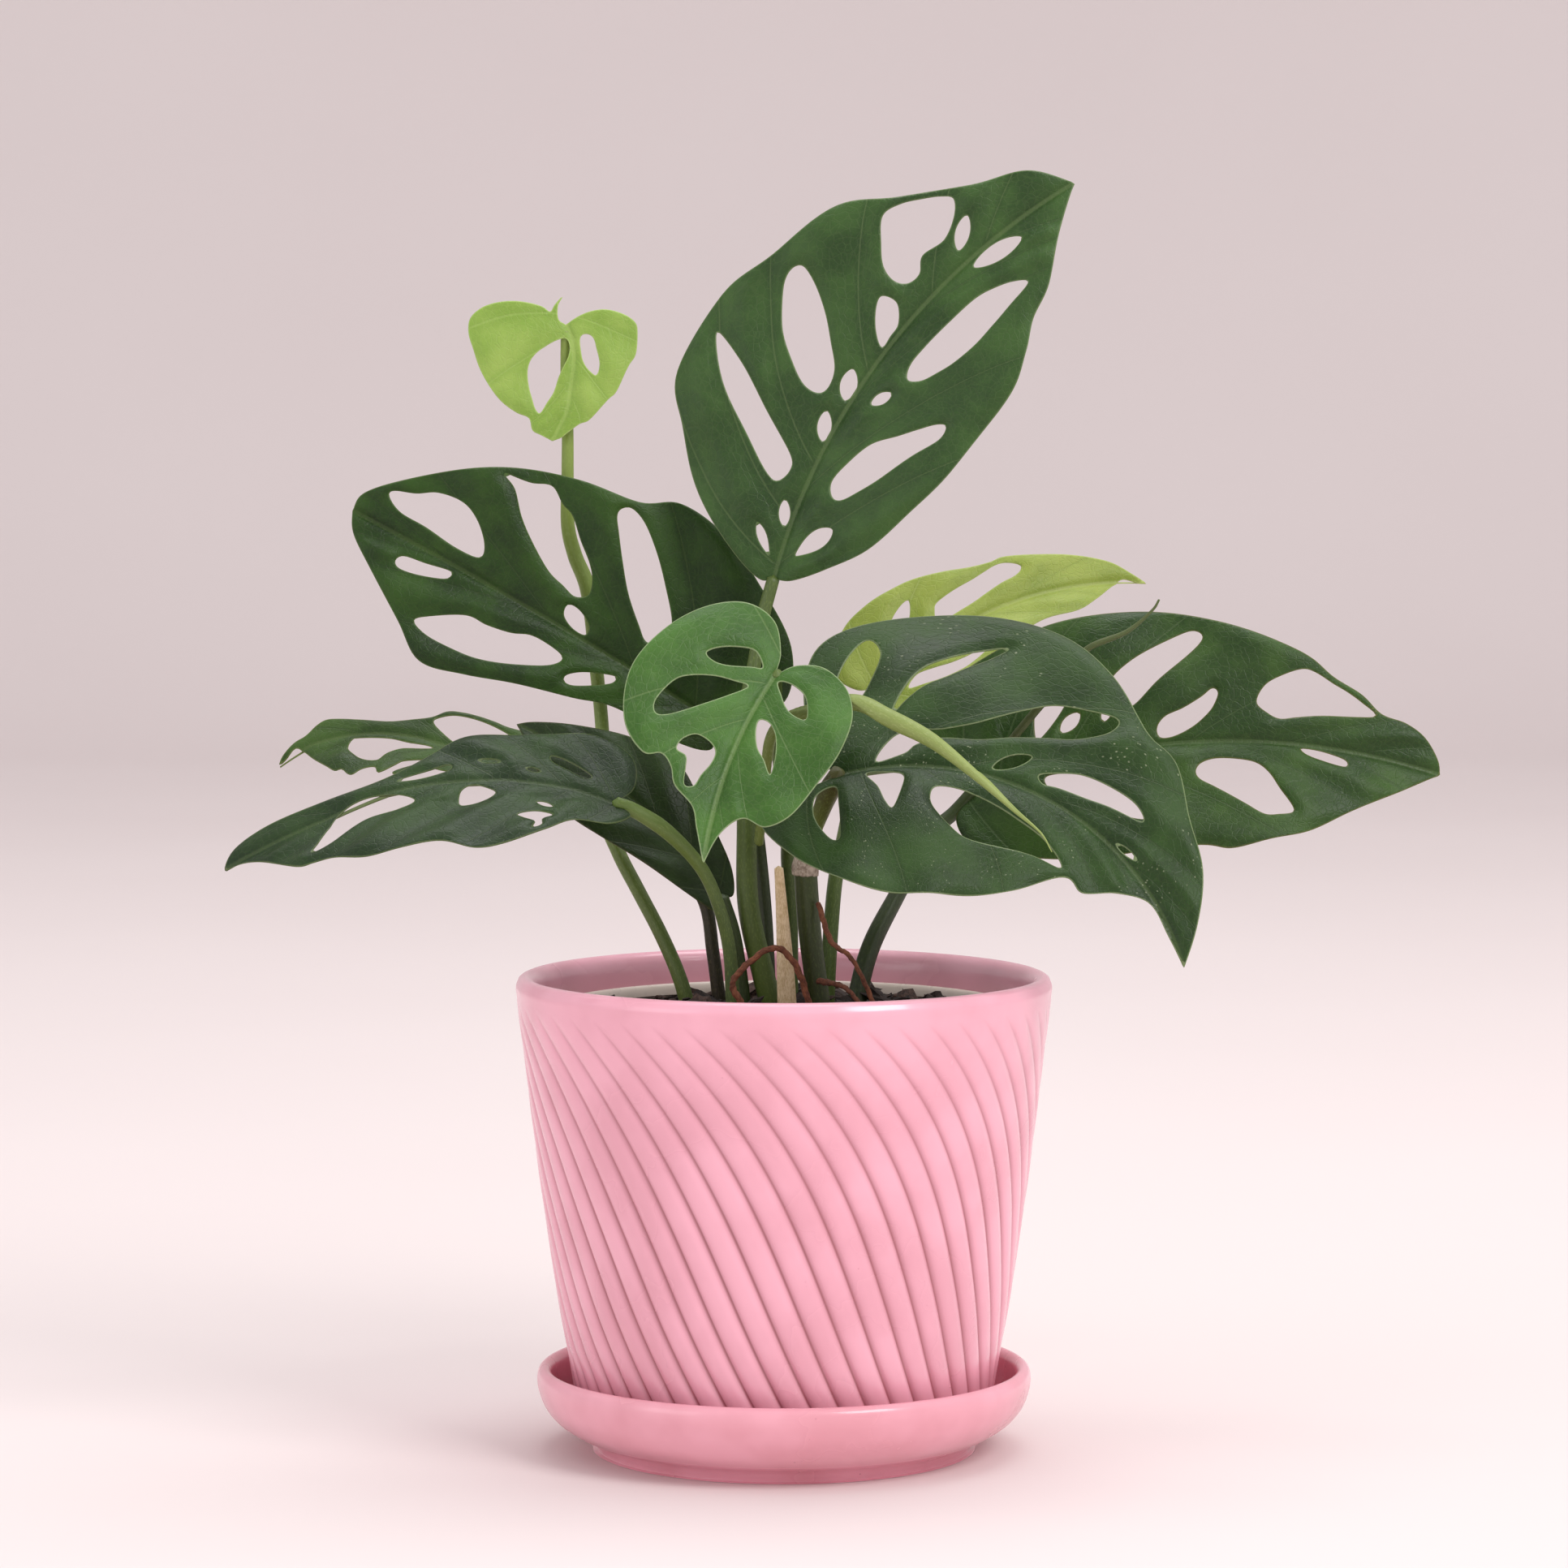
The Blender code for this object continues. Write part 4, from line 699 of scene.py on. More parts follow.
# Each leaf in its own millimetres, along its midrib and across it. base is where the midrib starts, turn its heading,
# climb and roll in degrees, arch and sweep its whole bend down and sideways. left and right are the margins from
# base to tip, holes the openings, mid the midrib where it isn't straight, and veins where the side veins leave it.
# fold is each half's angle to the midrib and curl its bend over 40 mm, in degrees. colours are the deep and light
# green, the veins and the margin.
LEAVES = {
    # Largest blade, top middle, its face turned to the left front: dark grey-green.
    "leaf_tall": dict(
        base=(-3, 10, 245), turn=(4, 75, 67), arch=12, sweep=-43, length=143,
        left=[(-1, 4), (4, 13), (17, 30), (29, 40), (40, 49), (60, 49), (74, 43), (92, 38), (104, 27), (120, 16),
              (134, 10)],
        right=[(1, -6), (7, -15), (17, -25), (33, -32), (50, -37), (70, -38), (88, -37), (100, -32), (109, -26),
               (120, -21), (132, -10)],
        holes=[[(26, 8), (30, 6), (34, 8), (41, 19), (48, 31), (52, 43), (50, 43), (42, 34), (34, 22), (27, 12)],
               [(52, 9), (55, 7.5), (60, 9), (65, 14), (70, 20), (74, 27), (76, 33), (75, 35.5), (72, 36), (68, 34),
                (61, 28), (56, 21), (52, 14)],
               [(88, 11), (90, 7.5), (94, 7), (98, 10), (105, 9), (111, 12), (114, 16), (112, 18.8), (108, 21.8),
                (103, 25), (98, 26), (93, 21), (89, 16)],
               [(72, 1.5), (76, 1.5), (80, 2), (84, 6), (83, 10.5), (80, 10), (75, 6)],
               [(69, -11), (71, -14.5), (76, -17), (82, -19), (90, -20), (98, -19.5), (106, -18.5), (115, -17),
                (112, -14), (106, -11.5), (100, -10), (90, -9.5), (80, -9), (73, -9)],
               [(28, -9), (32, -7), (39, -9), (47, -12.5), (53, -18), (58, -22), (63, -26), (64, -28.5), (59, -29),
                (50, -25), (39, -20), (32, -15.5), (28, -12)],
               (54, 1.5, 62.5, 4.5, 4.8, 0.5), (41, 1.2, 49, 4.5, 4, 0.5), (15, 1.5, 22, 4, 3.2, 0.5),
               (6, 3, 13.5, 9, 2.6, 0.6), (106, 4, 114, 10, 4, 0.5), (106, -2.5, 122, -5, 5.5, 0.5),
               (57, -6, 63, -9.5, 3.4, 0.5), (8, -4.5, 19, -13, 5.5, 0.6)],
        veins=([(4, 0.4), (17, 0.55), (34, 0.65), (64, 0.85), (92, 1.1), (112, 1.5)],
               [(4, 1.2), (26, 2.0), (52, 4.0), (84, 4.0), (112, 3.0)]),
        colours=("28401c", "3c5a28", "6d8050", "74845a")),
    # Broad blade behind on the left, seen face on: deep green.
    "leaf_left_back": dict(
        base=(-22, 28, 205), turn=(189, 33, -88), arch=20, sweep=4, length=118,
        left=[(-6, 7), (4, 11), (24, 12), (36, 16), (52, 21), (66, 26), (79, 29), (90, 22), (104, 13), (114, 6)],
        right=[(-7, -6), (-16, -16), (-9, -30), (8, -40), (24, -47), (38, -48), (48, -42), (65, -39), (80, -34),
               (94, -26), (108, -15), (117, -6)],
        holes=[[(110, -8.5), (109.5, -10.5), (103.5, -12.8), (98, -16), (90.5, -17), (84.5, -14.5), (79.5, -9.5),
                (79, -5.5), (86.5, -4.7), (96.5, -5.7), (105, -6)],
               [(84, -29.8), (79, -30.8), (76, -31.5), (71, -33.5), (66, -30.5), (62, -29), (56.5, -24),
                (51.5, -20), (48.5, -16.5), (47, -12), (50, -9.5), (54.5, -10.5), (60, -12), (67.5, -16.5),
                (74, -21.5), (79.5, -27.5)],
               [(51, -38), (48.5, -39.3), (43.5, -37.5), (36.5, -32), (30, -25.5), (23, -17.5), (22, -12),
                (26, -9), (30.5, -12), (37.5, -18), (43.5, -25), (48.5, -31.5), (51.3, -35.5)],
               [(50.5, -6.5), (50, -3.3), (46, -1.3), (42, -1.5), (42.5, -4.5), (47, -6.8)],
               [(99.5, 7), (98, 4.7), (91.5, 3.5), (84.5, 2), (83.5, 3.2), (85, 5), (92, 7.6), (97.5, 8.5)],
               [(86, 19.7), (83, 16.5), (74, 11), (67.5, 10.5), (60.5, 9), (55.5, 6.7), (50.5, 6.3), (45, 7),
                (44.3, 9), (48, 12.5), (57.5, 17.5), (65.5, 20.3), (73, 21.3), (81, 21.5)],
               [(40.5, 13), (40.5, 11), (36.5, 7.7), (29, 4.3), (28, 5.2), (29, 7), (33.7, 10.5), (38, 13)]],
        veins=([(6, 1.5), (30, 2.6), (60, 4.0), (88, 5.0)],
               [(-6, 0.0), (4, 0.5), (24, 1.2), (52, 2.2), (84, 5.0)]),
        colours=("162c08", "2c4a10", "4a5c2c", "58683a")),
    # Heart-shaped blade in the middle of the front, facing out: fresh mid green with a pale margin.
    "leaf_front": dict(
        base=(-2, -40, 221), turn=(223, -45, -40), arch=10, sweep=24, length=60,
        left=[(-5, 4), (-8, 11), (-5, 20), (4, 26), (17, 27.5), (30, 25), (42, 21), (47.5, 15), (46, 8.5), (51, 3.5)],
        right=[(-6, -2.5), (-12, -9), (-12, -18), (-6, -26), (4, -32), (17, -35), (29, -31), (35.5, -23),
               (34.5, -18), (37, -14.5), (41.5, -12), (45.5, -6), (51, -3.5)],
        holes=[[(5.5, -19), (2, -16), (-1.5, -10), (-1.5, -7), (1, -4), (2.5, -6.5), (5.5, -12), (6.5, -16)],
               [(8, -4.5), (8.5, -8.5), (10, -14), (13, -20), (16, -23), (22, -25), (25, -23.5), (24, -20), (20, -15),
                (14, -9)],
               [(26.5, -11), (27, -7), (29, -4.5), (32.5, -4.5), (36.5, -6), (40, -7), (40.5, -9.5), (36, -10.5),
                (33, -11.5), (32, -14.5), (29, -14)],
               [(2.5, 2), (1.5, 5.5), (3, 10.5), (7, 13.5), (10.5, 14.5), (10.5, 11), (9, 8), (6, 5)],
               [(15.5, 3), (15.5, 6), (18.5, 9), (23, 11), (27.5, 12), (31, 12), (27, 9), (24, 6), (19, 3.5)]],
        veins=([(-4, -0.4), (8, 0.9), (24, 2.2), (40, 2.5)], [(-4, -0.6), (4, 0.45), (16, 0.95), (34, 1.6)]),
        puff=0.8, rib=0.9, pitch=0.5,
        colours=("33561e", "466e2a", "8ba06a", "a5b58a")),
    # Wide blade of the right front, both halves shown, its tip hanging: very dark, with dried water specks.
    "leaf_right_front": dict(
        base=(15, -34, 193), turn=(1, 14, 43), arch=30, sweep=-87, length=121, fold=(8, 8), curl=(-12, -12),
        left=[(-4, 6), (-4, 20), (-2, 36), (3, 49), (14, 56), (29, 58), (44, 54), (55, 46), (65, 36), (70, 32.5),
              (77, 31), (88, 22), (100, 16), (111, 8)],
        right=[(-9, -2), (-20, -3), (-27, -8), (-24, -26), (-13, -38), (4, -45), (31, -46), (56, -40), (71, -31),
               (80, -17), (88, -16), (94, -8), (101, -1.5), (111, -1)],
        holes=[[(11, 47), (13, 41), (11.5, 33), (8, 25), (5, 29), (4.5, 34), (7.5, 42)],
               [(15, 18), (17, 25), (21, 33.5), (26, 39), (31, 43), (36, 45.5), (33, 40), (29.5, 35.5), (26, 31),
                (21.5, 27), (18, 22.5)],
               [(10.5, 2), (18, 4), (21, 7), (27, 9.5), (36, 10.5), (44, 14), (51, 17.5), (57, 21), (62, 27),
                (62, 32), (56, 31), (49, 29), (44, 24.5), (39, 19.5), (34, 15.5), (27, 12.5), (21, 12), (15.5, 10)],
               (42, 2.5, 50, 10, 3.8, 0.5),
               [(54, 5.5), (58, 8.5), (63, 11.5), (70, 13), (78, 13.5), (82, 11), (73, 8), (67, 6), (60, 4.5),
                (56, 3.5)],
               (82, 1.5, 89, 2.5, 1.6, 0.5),
               [(7.5, -2.2), (13, -2.5), (18, -4), (17.5, -10), (15, -17), (12.5, -14), (10.5, -8)],
               [(28, -8), (34, -7.5), (40, -8.5), (48, -10), (57, -11.5), (67, -12.5), (77, -15.5), (68, -18.5),
                (55, -22.5), (43, -23.5), (35, -20.5), (29, -16), (27, -12)],
               [(-2, -5), (-2.5, -12), (-4, -19), (-6, -24), (-9, -23.5), (-11, -18), (-11, -12), (-8, -6)]],
        veins=([(-3, -0.2), (8, 1.3), (32, 1.9), (58, 3.2), (86, 4.0)],
               [(-8, -0.5), (6, 0.1), (22, 1.2), (52, 3.0), (80, 4.0)]),
        dust=0.5,
        colours=("1a300c", "2d481a", "5a6c40", "8c9a70")),
    # Blade behind on the right: dark green, its lower margin a little brown.
    "leaf_right_back": dict(
        base=(54, 32, 183), turn=(-9, 24, 63), arch=30, sweep=-34, length=137,
        left=[(-7, 7), (-8, 20), (4, 34), (22, 40), (38, 42), (56, 41), (73, 36), (90, 29), (97, 25.5),
              (103, 20.8), (111, 17), (117, 12.6), (124, 11.6), (130, 9), (135, 4)],
        right=[(-7, -6), (-5, -17), (6, -25), (22, -31), (42, -34), (66, -33), (76, -34), (88, -31), (100, -27),
               (112, -19), (125, -10)],
        holes=[[(69, 31), (67, 33.5), (62, 32), (51, 26), (44, 20), (43, 14), (49, 12), (57, 19), (65, 26)],
               [(72.5, 14.5), (71, 15.5), (68, 13), (63, 10), (58, 8), (55.5, 5), (56, 2), (60, 2), (65.5, 4.5),
                (70, 8.5), (72, 12)],
               [(83, 11.5), (85, 16.5), (89, 19.5), (94.5, 22), (98, 21.5), (103, 18.8), (107, 17), (111, 14.8),
                (115.5, 11.8), (110.5, 10.3), (100.5, 9), (94, 7.8), (89.5, 7), (86, 8.5)],
               [(96, -1.2), (99, -1), (103, -1.5), (109, -3), (109.5, -5), (106, -5), (100, -3.8), (97, -2.6)],
               [(65.5, -10), (67, -7.5), (71, -6), (77, -6), (83, -7), (87, -10), (90.5, -15), (94.5, -20),
                (94.5, -22), (91, -23), (86, -23.5), (80, -20.5), (70.5, -15), (66.5, -12.5)],
               [(22, -3.5), (32, -5.5), (39, -10), (46, -18), (49, -24), (40, -21), (31, -14.5), (23, -9)],
               (22, 8, 36, 31, 8, 0.55), (29, 8.5, 35, 13, 4, 0.5), (41, 9, 43, 13, 2.5, 0.5)],
        veins=([(0, 0.1), (8, 0.5), (28, 0.75), (64, 1.5), (92, 2.4), (112, 3.0)],
               [(-2, 0.2), (8, 1.0), (36, 1.7), (74, 2.4), (102, 3.0)]),
        colours=("223a12", "38541e", "62764a", "6b6a3c")),
    # Young blade behind the middle: yellow-green.
    "leaf_pale": dict(
        base=(29, 56, 212.5), turn=(24, 43, 50), arch=20, sweep=-44, length=90,
        left=[(-6, 5), (-6, 14), (4, 20.5), (13, 21.5), (20.9, 20.5), (26.2, 19.5), (33.8, 17.1), (40.6, 14.8),
              (46.5, 13.9), (50.5, 14.1), (59.4, 11.9), (68.3, 9.7), (75, 7.7), (80, 5.8), (84.8, 2.8),
              (88, 0.9)],
        right=[(-6, -5), (-5, -14), (6, -18), (22, -17), (36, -14), (52.4, -9.7), (65, -8.9), (72.7, -5.5),
               (79.6, -0.8), (82.5, 0.8), (86.5, 0)],
        holes=[[(26.2, 8.1), (27.4, 9.4), (30, 10), (34.4, 10.5), (39.7, 10.9), (44, 11.7), (46.8, 12.3),
                (49.4, 12.3), (52.2, 11.2), (53.9, 9.7), (53, 8.2), (50.7, 7.2), (47.2, 6.7), (41.5, 5.4),
                (37, 4.5), (32.2, 4.1), (27, 4), (25, 5.5)],
               [(4, -6.5), (8.9, -5), (14, -6.8), (19.5, -9), (25.7, -10.2), (32.6, -10.2), (30, -12), (22, -13),
                (14.3, -11.7), (8, -9)],
               (8, 5, 22, 15, 5, 0.5)],
        veins=([(-2, 0.3), (4, 1.2), (20, 2.0), (48, 3.0)], [(-2, 0.4), (10, 1.6), (36, 2.5), (60, 3.0)]),
        puff=0.7, rib=0.9, pitch=0.55,
        colours=("7f9038", "97a54c", "b3bd78", "aeb970")),
    # Newest blade at the tip of the vine, small and heart-shaped: light green.
    "leaf_small": dict(
        base=(-62.5, 38, 317), turn=(230, -74, -39), arch=5, sweep=8, length=34, fold=(5, 5), curl=(-15, -15),
        left=[(-1.3, 1.4), (-3.4, 3.8), (-5.2, 6.7), (-6.5, 10.7), (-6.2, 15.6), (-4.6, 19.3), (-1.8, 20.7),
              (5.4, 21.4), (9.8, 19.8), (17.9, 17.4), (20.8, 15.2), (27.2, 10.5), (28.8, 7.6), (31.2, 4.7),
              (33, 2.6)],
        right=[(-1.0, -2.2), (-4.8, -3.1), (-8.2, -2.2), (-5, -4.1), (-2.7, -5), (-3.7, -7.6), (-4, -12.5),
               (-3.4, -17.4), (-1.9, -22), (0.2, -25.3), (3.1, -27.3), (6.9, -26.9), (11, -24.8), (15.9, -22.2),
               (20.6, -18.6), (24.1, -15), (26.7, -10.6), (28, -7), (31.3, -5.8), (32.5, -3.4)],
        mid=[(0, 0.3), (3.7, 2.6), (9, 4), (13, 4.2), (22, 4), (26, 3.4), (34, 0)],
        holes=[[(6.1, -3.1), (4.8, -1.2), (4.1, 0.6), (5.1, 1.8), (7.1, 2.4), (9.4, 2.3), (11.6, 1.6), (13.4, 1),
                (15.8, 0.3), (18.5, -0.2), (20.6, -0.8), (23, -2.1), (26.3, -3.9), (25.1, -5.4), (22.4, -6.5),
                (19.9, -7.5), (17, -8.3), (14.2, -8.6), (11.7, -8.1), (9.3, -6.6), (7.4, -4.6)],
               [(3.4, 4.9), (2.3, 5.4), (1.9, 6.6), (2.2, 7.9), (3.4, 9), (5.6, 9.9), (7.8, 10.8), (10.1, 11.5),
                (12.5, 11.5), (13.8, 10.9), (13.3, 9.8), (11.8, 8), (9.7, 6.6), (7.1, 5.7), (4.9, 5.1)]],
        veins=([(-3, 0.1), (9, 1.0), (20, 1.5)], [(-3, 0.1), (2, 0.6), (16, 1.6), (26, 2.0)]),
        puff=0.6, wave=0.5, rib=0.7, pitch=0.4,
        colours=("7b9a3e", "96b055", "a9c070", "adc275")),
    # Blade low on the left front, seen almost along its surface: dark blue-green.
    "leaf_left_front": dict(
        base=(-46, -35, 185), turn=(188, 8, -37), arch=35, sweep=12, length=111, fold=(8, 8), curl=(-10, -10),
        left=[(-4, 5), (2, 10), (12, 10), (20, 15), (31, 19.5), (40, 21), (49, 17), (60, 17.5), (70, 17.3),
              (79, 13.5), (85, 12.8), (90, 12), (100, 4), (106, 1)],
        right=[(-5, -7), (-4, -18), (6, -25), (18, -25), (28, -24.5), (40, -24), (52, -17), (64, -12), (80, -9.5),
               (96, -8), (106, -5)],
        mid=[(0, 0), (12, -4), (30, -7), (50, -7.8), (62, -7.3), (80, -3.2), (100, -1), (111, 0)],
        holes=[[(85, 8.5), (79, 7), (69, 1), (60, -0.5), (55, -2.5), (59, -5.5), (66, -7), (74, -5), (79, 0),
                (83, 5.5)],
               [(43, 1.5), (42.3, -3.5), (39, -5.5), (35, -4), (33, -2), (36.5, 0.7), (40, 2)],
               [(59, -10.8), (50.5, -12.5), (45, -13.8), (44.7, -12), (49.5, -10.5), (55, -10)],
               [(17.5, -16), (13.5, -14.5), (7, -9.5), (8.5, -8), (13, -10.8), (17, -13.5)],
               [(27.5, 8), (24.3, 6.8), (21, 6.8), (17.7, 8.3), (20.7, 10.3), (21, 13), (23.7, 14), (22.8, 11.5),
                (26, 9.5)],
               (20.5, -9.8, 24.5, -11, 1.5, 0.5), (31, -13.5, 37, -14.5, 1.5, 0.5), (17.5, 4.3, 22, 2, 2, 0.5)],
        veins=([(0, 0.6), (12, 1.0), (28, 1.4), (46, 2.0), (70, 2.5), (92, 3.0)],
               [(0, 0.4), (14, 0.8), (32, 1.2), (50, 1.8), (74, 2.6)]),
        colours=("1a2c14", "2d441e", "55653f", "66724a")),
    # Narrow blade behind that one, on the left.
    "leaf_left_back_low": dict(
        base=(-61, 12, 188), turn=(172, 26, -35), arch=35, sweep=33, length=86, fold=(8, 8), curl=(-10, -10),
        left=[(-3, 5), (6, 11), (20, 13), (34, 12.5), (39, 12), (48, 15), (50, 13.5), (41, 8.5), (47.4, 8.7),
              (49.8, 10.4), (53.2, 13.2), (55.1, 13.7), (56.2, 11), (60, 11.4), (62.7, 13.2), (64.4, 12.5),
              (66.3, 9.8), (68.5, 9.8), (71.2, 6.7), (74.4, 2.8), (77.6, -1.9), (79.8, -4.0), (83, -1.6)],
        right=[(-3, -6), (10, -11), (21, -10.8), (25, -11.5), (29.8, -12.3), (34.4, -12.7), (38.3, -12.4),
               (42, -9.9), (46.6, -8.8), (53.4, -8.1), (61.2, -9.6), (66.9, -11), (70.5, -11.5), (73.2, -10.2),
               (76.5, -7.4), (80, -6), (83.5, -3.2)],
        mid=[(0, 0), (30, 0.3), (37, 0), (45, -2.2), (55, -4), (65, -4.6), (75, -4), (86, 0)],
        holes=[[(41.4, -8.2), (39, -4.9), (34.2, -1.1), (32.6, -3.1), (30.4, -4.2), (27.3, -5.3), (22.5, -6.1),
                (18.4, -6.9), (21.2, -8.3), (26.3, -10), (31.3, -11), (36, -11.2), (39.6, -10)],
               [(64.8, 0.4), (63.5, -2.6), (61.7, -2.9), (52.9, -1.7), (48, -0.2), (41.6, 1.2), (40.1, 2.4),
                (43.6, 2.8), (48.8, 2.8), (52.4, 4.3), (54, 5.8), (55.5, 7.7), (58.2, 7.6), (60.8, 6.2),
                (62.8, 3.9)]],
        veins=([(2, 0.8), (16, 1.2), (34, 1.8), (60, 2.5)],) * 2,
        puff=0.7,
        colours=("22380e", "3c5620", "5c6c40", "68733f")),
    # Blade between them, turned edge on, with a dark curled tip.
    "leaf_edge_on": dict(
        base=(-17, -12, 157), turn=(166, 53, -53), arch=25, sweep=20, length=79, fold=(8, 8), curl=(-10, -10),
        left=[(-3, 4), (6, 8), (20, 12), (36, 15.5), (50, 16.5), (62, 12), (72, 5)],
        right=[(-1, -3), (5, -7), (14, -10), (24, -13), (37, -17), (50, -14), (64, -8), (74, -3)],
        holes=[],
        veins=([(2, 0.8), (14, 1.2), (28, 1.6), (44, 2.2), (62, 2.6)],) * 2,
        colours=("142405", "263c10", "475729", "4c4a2a")),
}
for name, leaf in LEAVES.items():
    shell = make_blade(name + "_blade", leaf, leaf.get("pitch", 0.7))
    deep, light, vein, edge = leaf["colours"]
    shell.data.materials.append(leaf_skin("upper_skin_" + name, deep, light, vein, edge, dust=leaf.get("dust", 0.0)))
    shell.data.materials.append(leaf_skin("under_skin_" + name, light, vein, edge, edge, roughness=0.55, under=True))
    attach(shell, "root")
    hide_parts(name)

# ---------------------------------------------------------------------------------------------------
# Rolled new leaves. Each is a young blade still wound round itself into a spike, so its surface is one sheet
# with an overlapping edge that spirals up it: pale, firm and faintly ribbed.


def wound(turns, lip, start=0.0):
    """The section of a rolled sheet: radius grows steadily with angle from the seam and drops back there by the
    lip's height. The seam itself turns round the spike as it rises."""
    circle = 2 * math.pi
    return lambda share, turn: 1 - lip / 2 + lip * ((turn - start - circle * turns * share) / circle % 1) ** 1.5


ROLLS = {
    "rolled_leaf": (
        [(-7, -11.5, 172), (-6, -16, 180), (-5, -25, 190), (-4, -33, 202), (0, -37, 208), (8, -39, 210.5),
         (19, -44, 213), (28, -49, 209.5), (40, -53, 203.5), (52, -57, 194), (62, -60, 185), (69, -62, 179),
         (72, -63, 174)],
        [1.3, 1.3, 1.4, 1.5, 1.5, 1.6, 1.9, 2.3, 2.5, 2.4, 2.1, 1.7, 1.3, 0.8, 0.4, 0.15], (2.2, 0.30, 1.0),
        "6f7f3c", "8b9a55", "a6b072"),
    "rolled_leaf_back": (
        [(55.5, 25.5, 187), (60, 22, 193), (71, 18, 207), (79, 17, 216), (86, 16, 225), (97, 15, 230),
         (104, 14, 236), (106, 14, 239)],
        [0.9, 1.1, 1.2, 1.2, 1.0, 0.7, 0.3], (2.0, 0.25, 0.0), "3c451c", "4f5b31", "6a733f"),
}
for name, (path, radii, (turns, lip, start), low, high, fleck) in ROLLS.items():
    spike = tube(name + "_spike", path, radii, 14, 40, section=wound(turns, lip, start))
    spike.data.materials.append(stem_skin("young_skin_" + name, low, high, fleck, 0.45))
    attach(spike, "root")
    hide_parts(name)

# ---------------------------------------------------------------------------------------------------
# Dry parts: aerial roots that loop down into the soil, the papery sheath on the cane's node, and the stub of a
# stalk whose leaf was cut. Corky or fibrous, matt, and brown to straw-coloured.


def dry_skin(name, dark, light, roughness=0.8, stretch=0.25):
    """Dry plant skin: fibres along the length over a blotched ground, cracked finely enough to look rough."""
    made, tree, shader = new_material(name)
    way = add(tree, "Attribute", {"attribute_name": "way"}, out="Vector")
    _, turn, reach = add(tree, "SeparateXYZ", Vector=way).node.outputs
    place = add(tree, "TexCoord", out="Object")
    fibre = add(tree, "CombineXYZ", X=add(tree, "Math", TIMES, turn, 1.6), Y=add(tree, "Math", TIMES, reach, stretch))
    fibre = add(tree, "TexNoise", Vector=fibre, Scale=3.0, Detail=4.0, Roughness=0.65)
    blotch = add(tree, "TexNoise", Vector=place, Scale=420.0, Detail=4.0, Roughness=0.6)
    mixed = add(tree, "Math", TIMES_PLUS, fibre, 0.6, add(tree, "Math", TIMES, blotch, 0.4))
    colour = add(tree, "Mix", MIXED, add(tree, "MapRange", RISE, mixed, 0.36, 0.64), linear(dark), linear(light))
    tree.links.new(colour, shader.inputs["Base Color"])
    tree.links.new(add(tree, "Bump", Strength=0.6, Distance=0.0004, Height=mixed), shader.inputs["Normal"])
    shader.inputs["Roughness"].default_value = roughness
    return made


def knobbly(share, turn):
    """A slightly flattened section whose radius wanders along the length by two sines of unlike period."""
    slow, fast = np.sin(71 * share + turn), np.sin(173 * share - 2 * turn)
    return 1 + 0.10 * np.sin(2 * turn + 9 * share) + 0.16 * slow + 0.10 * fast


DRY = {
    "aerial_root_loop": (
        [(-9, -34, 118.6), (-11, -35, 128), (-14, -36, 135), (-11, -37, 140), (-3, -38, 145.5), (3, -38, 141),
         (7, -36, 129), (8, -35, 118.6)],
        [0.8, 0.85, 0.9, 0.95, 0.8, 0.8], "4a2418", "8a5236", knobbly),
    "aerial_root_long": (
        [(26, -31, 118.6), (25, -30, 128), (19, -28, 141), (13, -24, 146), (9.5, -18.6, 156)],
        [0.55, 0.65, 0.75, 0.7], "4d261a", "8c5538", knobbly),
    "aerial_root_short": (
        [(24, -36, 118.6), (22, -34, 127), (17, -30, 133.5), (9.6, -20, 134.5)],
        [0.55, 0.7, 0.85], "46231a", "7e4a33", knobbly),
    "dead_stub": (
        [(1, -22, 112), (1, -22, 125), (0, -22, 145), (-1.5, -22, 166)],
        [2.8, 2.5, 2.2, 1.8, 1.4, 1.1], "c9ad80", "ecd5b0",
        lambda share, turn: 1 + 0.05 * np.sin(7 * turn) + 0.12 * np.sin(2 * turn + 3 * share)
        + 0.15 * share * np.sin(3 * turn)),
    "node_sheath": (
        [(5.9, -15.1, 163.6), (6.1, -15.1, 166.5), (6.6, -15.6, 169.4)],
        [3.5, 3.7, 3.5, 2.9], "8b7a6b", "cdbfae",
        lambda share, turn: 1 + 0.06 * np.sin(5 * turn + 4 * share) + 0.05 * np.sin(11 * turn)),
}
for name, (path, radii, dark, light, section) in DRY.items():
    dry = tube(name + "_dry", path, radii, 14, 28, section=section)
    dry.data.materials.append(dry_skin("dry_skin_" + name, dark, light))
    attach(dry, "root")
    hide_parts(name)

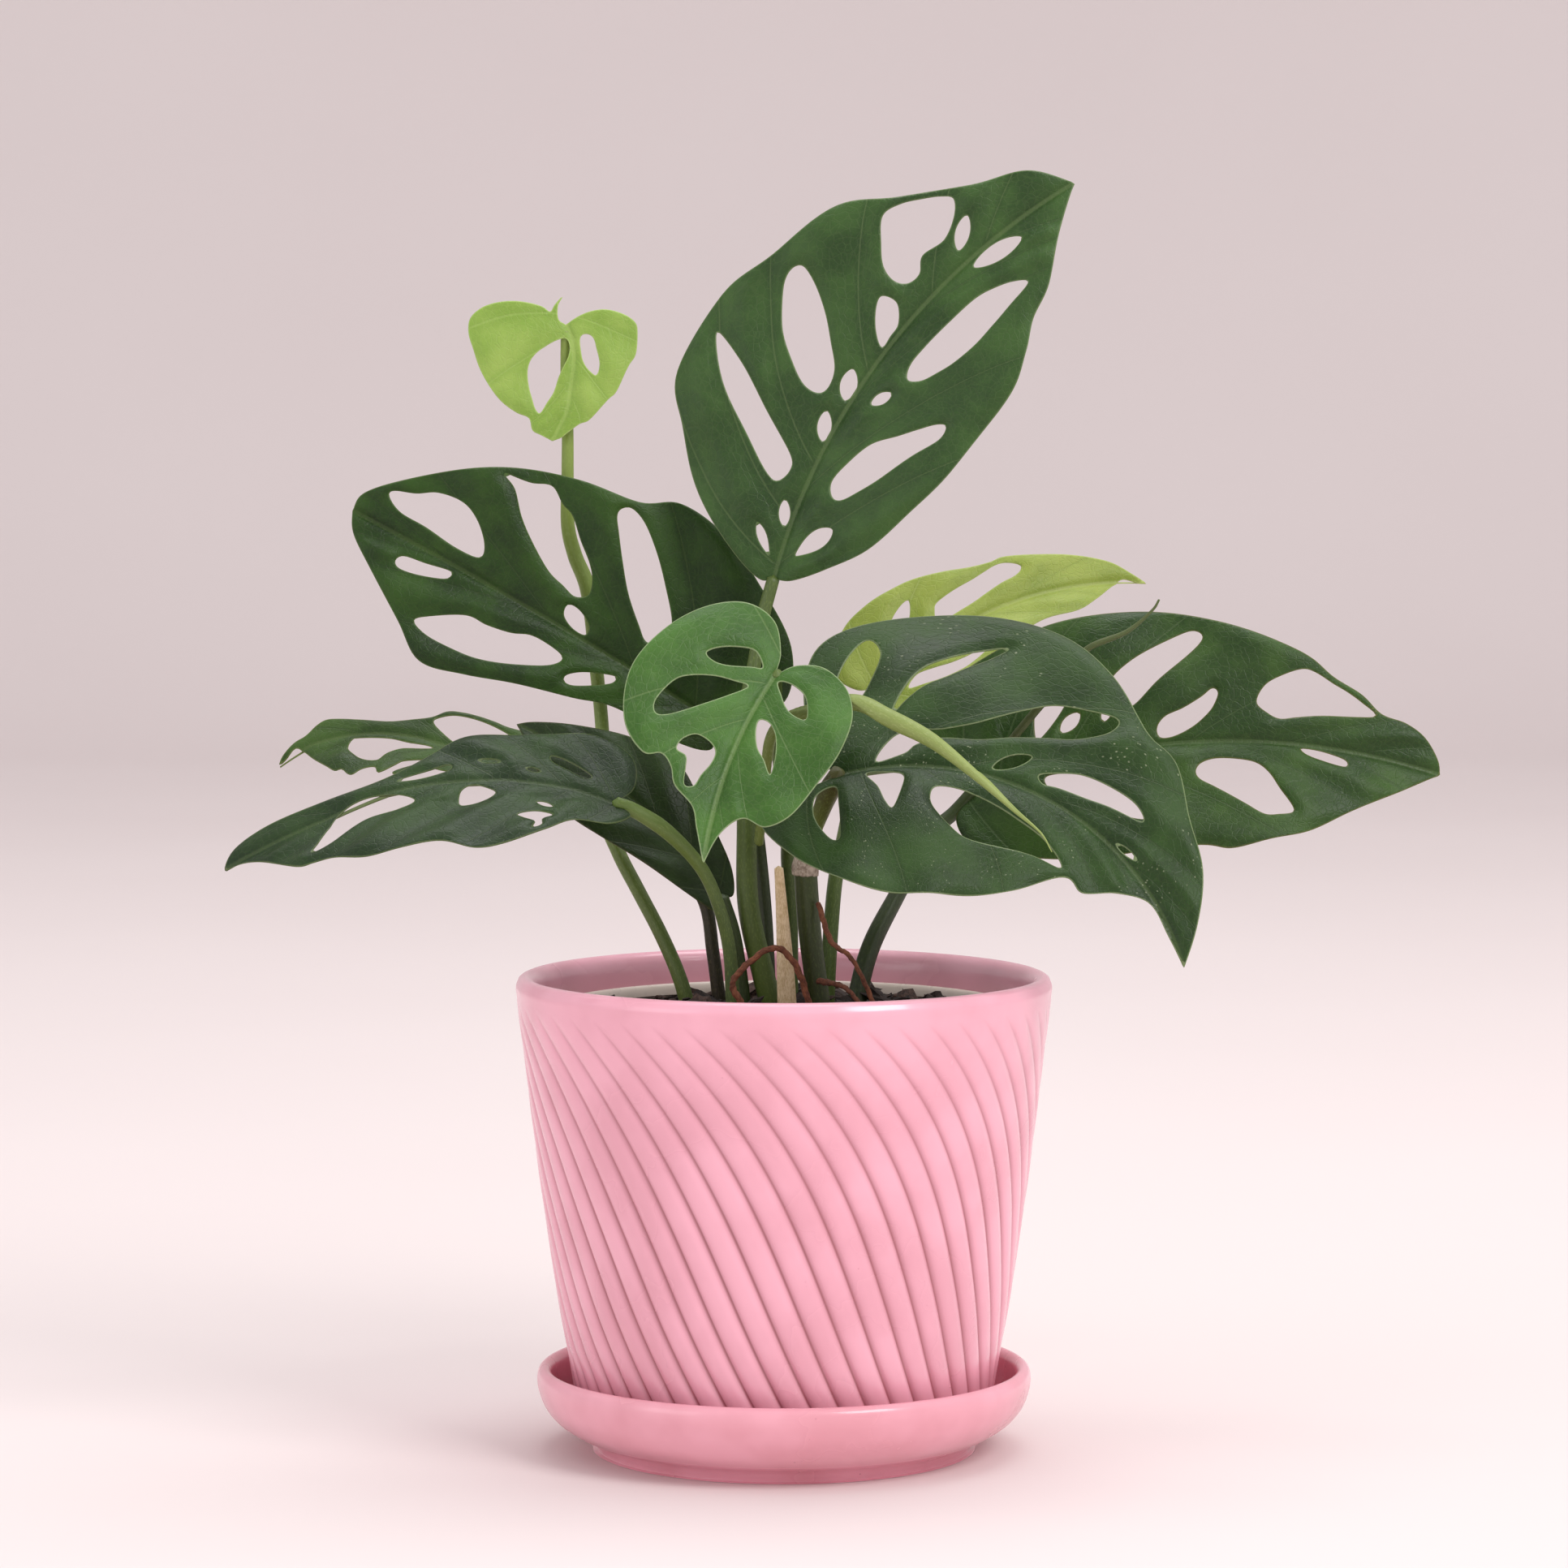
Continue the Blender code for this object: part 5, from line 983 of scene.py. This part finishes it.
# ---------------------------------------------------------------------------------------------------
# Studio: one pale matt sweep of floor and backdrop, a large soft light from the right front and above, a weak
# one from the left, and a camera a little above the rim of the pot.
corner = [(3.0 + math.sin(t), 1 - math.cos(t)) for t in np.linspace(0.1, math.pi / 2, 14)]
sweep = np.array([(-3.0, 0), (3.0, 0), *corner, (4.0, 5.0)])
width = np.linspace(-5, 5, 3)
points = np.stack([np.broadcast_to(width[None], (len(sweep), 3)), np.broadcast_to(sweep[:, :1], (len(sweep), 3)),
                   np.broadcast_to(sweep[:, 1:], (len(sweep), 3))], -1).reshape(-1, 3) / MM
floor = put_mesh("studio_floor", points, grid_faces(len(sweep), 3))
made, tree, shader = new_material("pale_studio_paint")
place = add(tree, "TexCoord", out="Object")
grain = add(tree, "TexNoise", Vector=place, Scale=2.0, Detail=2.0)
tree.links.new(add(tree, "Mix", MIXED, grain, linear("dfd4d3"), linear("e4dad9")), shader.inputs["Base Color"])
shader.inputs["Roughness"].default_value = 0.9
floor.data.materials.append(made)

world = bpy.data.worlds.new("soft_room")
world.use_nodes = True
world.node_tree.nodes["Background"].inputs["Color"].default_value = linear("f3f0f2")
world.node_tree.nodes["Background"].inputs["Strength"].default_value = 0.9
bpy.context.scene.world = world
bpy.context.scene.view_settings.view_transform = "Standard"
for name, place, power, size, colour in (
    ("key_light", (1.5, -1.5, 1.9), 34.0, 1.1, "fffdfb"),
    ("top_light", (0.2, 0.5, 2.2), 20.0, 1.4, "ffffff"),
    ("fill_light", (-1.9, -1.3, 0.8), 6.0, 1.2, "ffffff"),
):
    lamp = bpy.data.lights.new(name, "AREA")
    lamp.energy, lamp.size, lamp.color = power, size, linear(colour)[:3]
    lamp_object = bpy.data.objects.new(name, lamp)
    lamp_object.location = place
    aim = np.array([0, 0, 0.18]) - np.array(place)
    lamp_object.rotation_euler = (math.acos(-aim[2] / np.linalg.norm(aim)), 0, math.atan2(aim[1], aim[0]) - math.pi / 2)
    bpy.context.scene.collection.objects.link(lamp_object)

lens = bpy.data.cameras.new("camera")
lens.lens, lens.sensor_width = 121.0, 36.0
camera = bpy.data.objects.new("camera", lens)
camera.location = (0, -1.475, 0.292)
camera.rotation_euler = (math.radians(90 - 4.04), 0, 0)
bpy.context.scene.collection.objects.link(camera)
bpy.context.scene.camera = camera
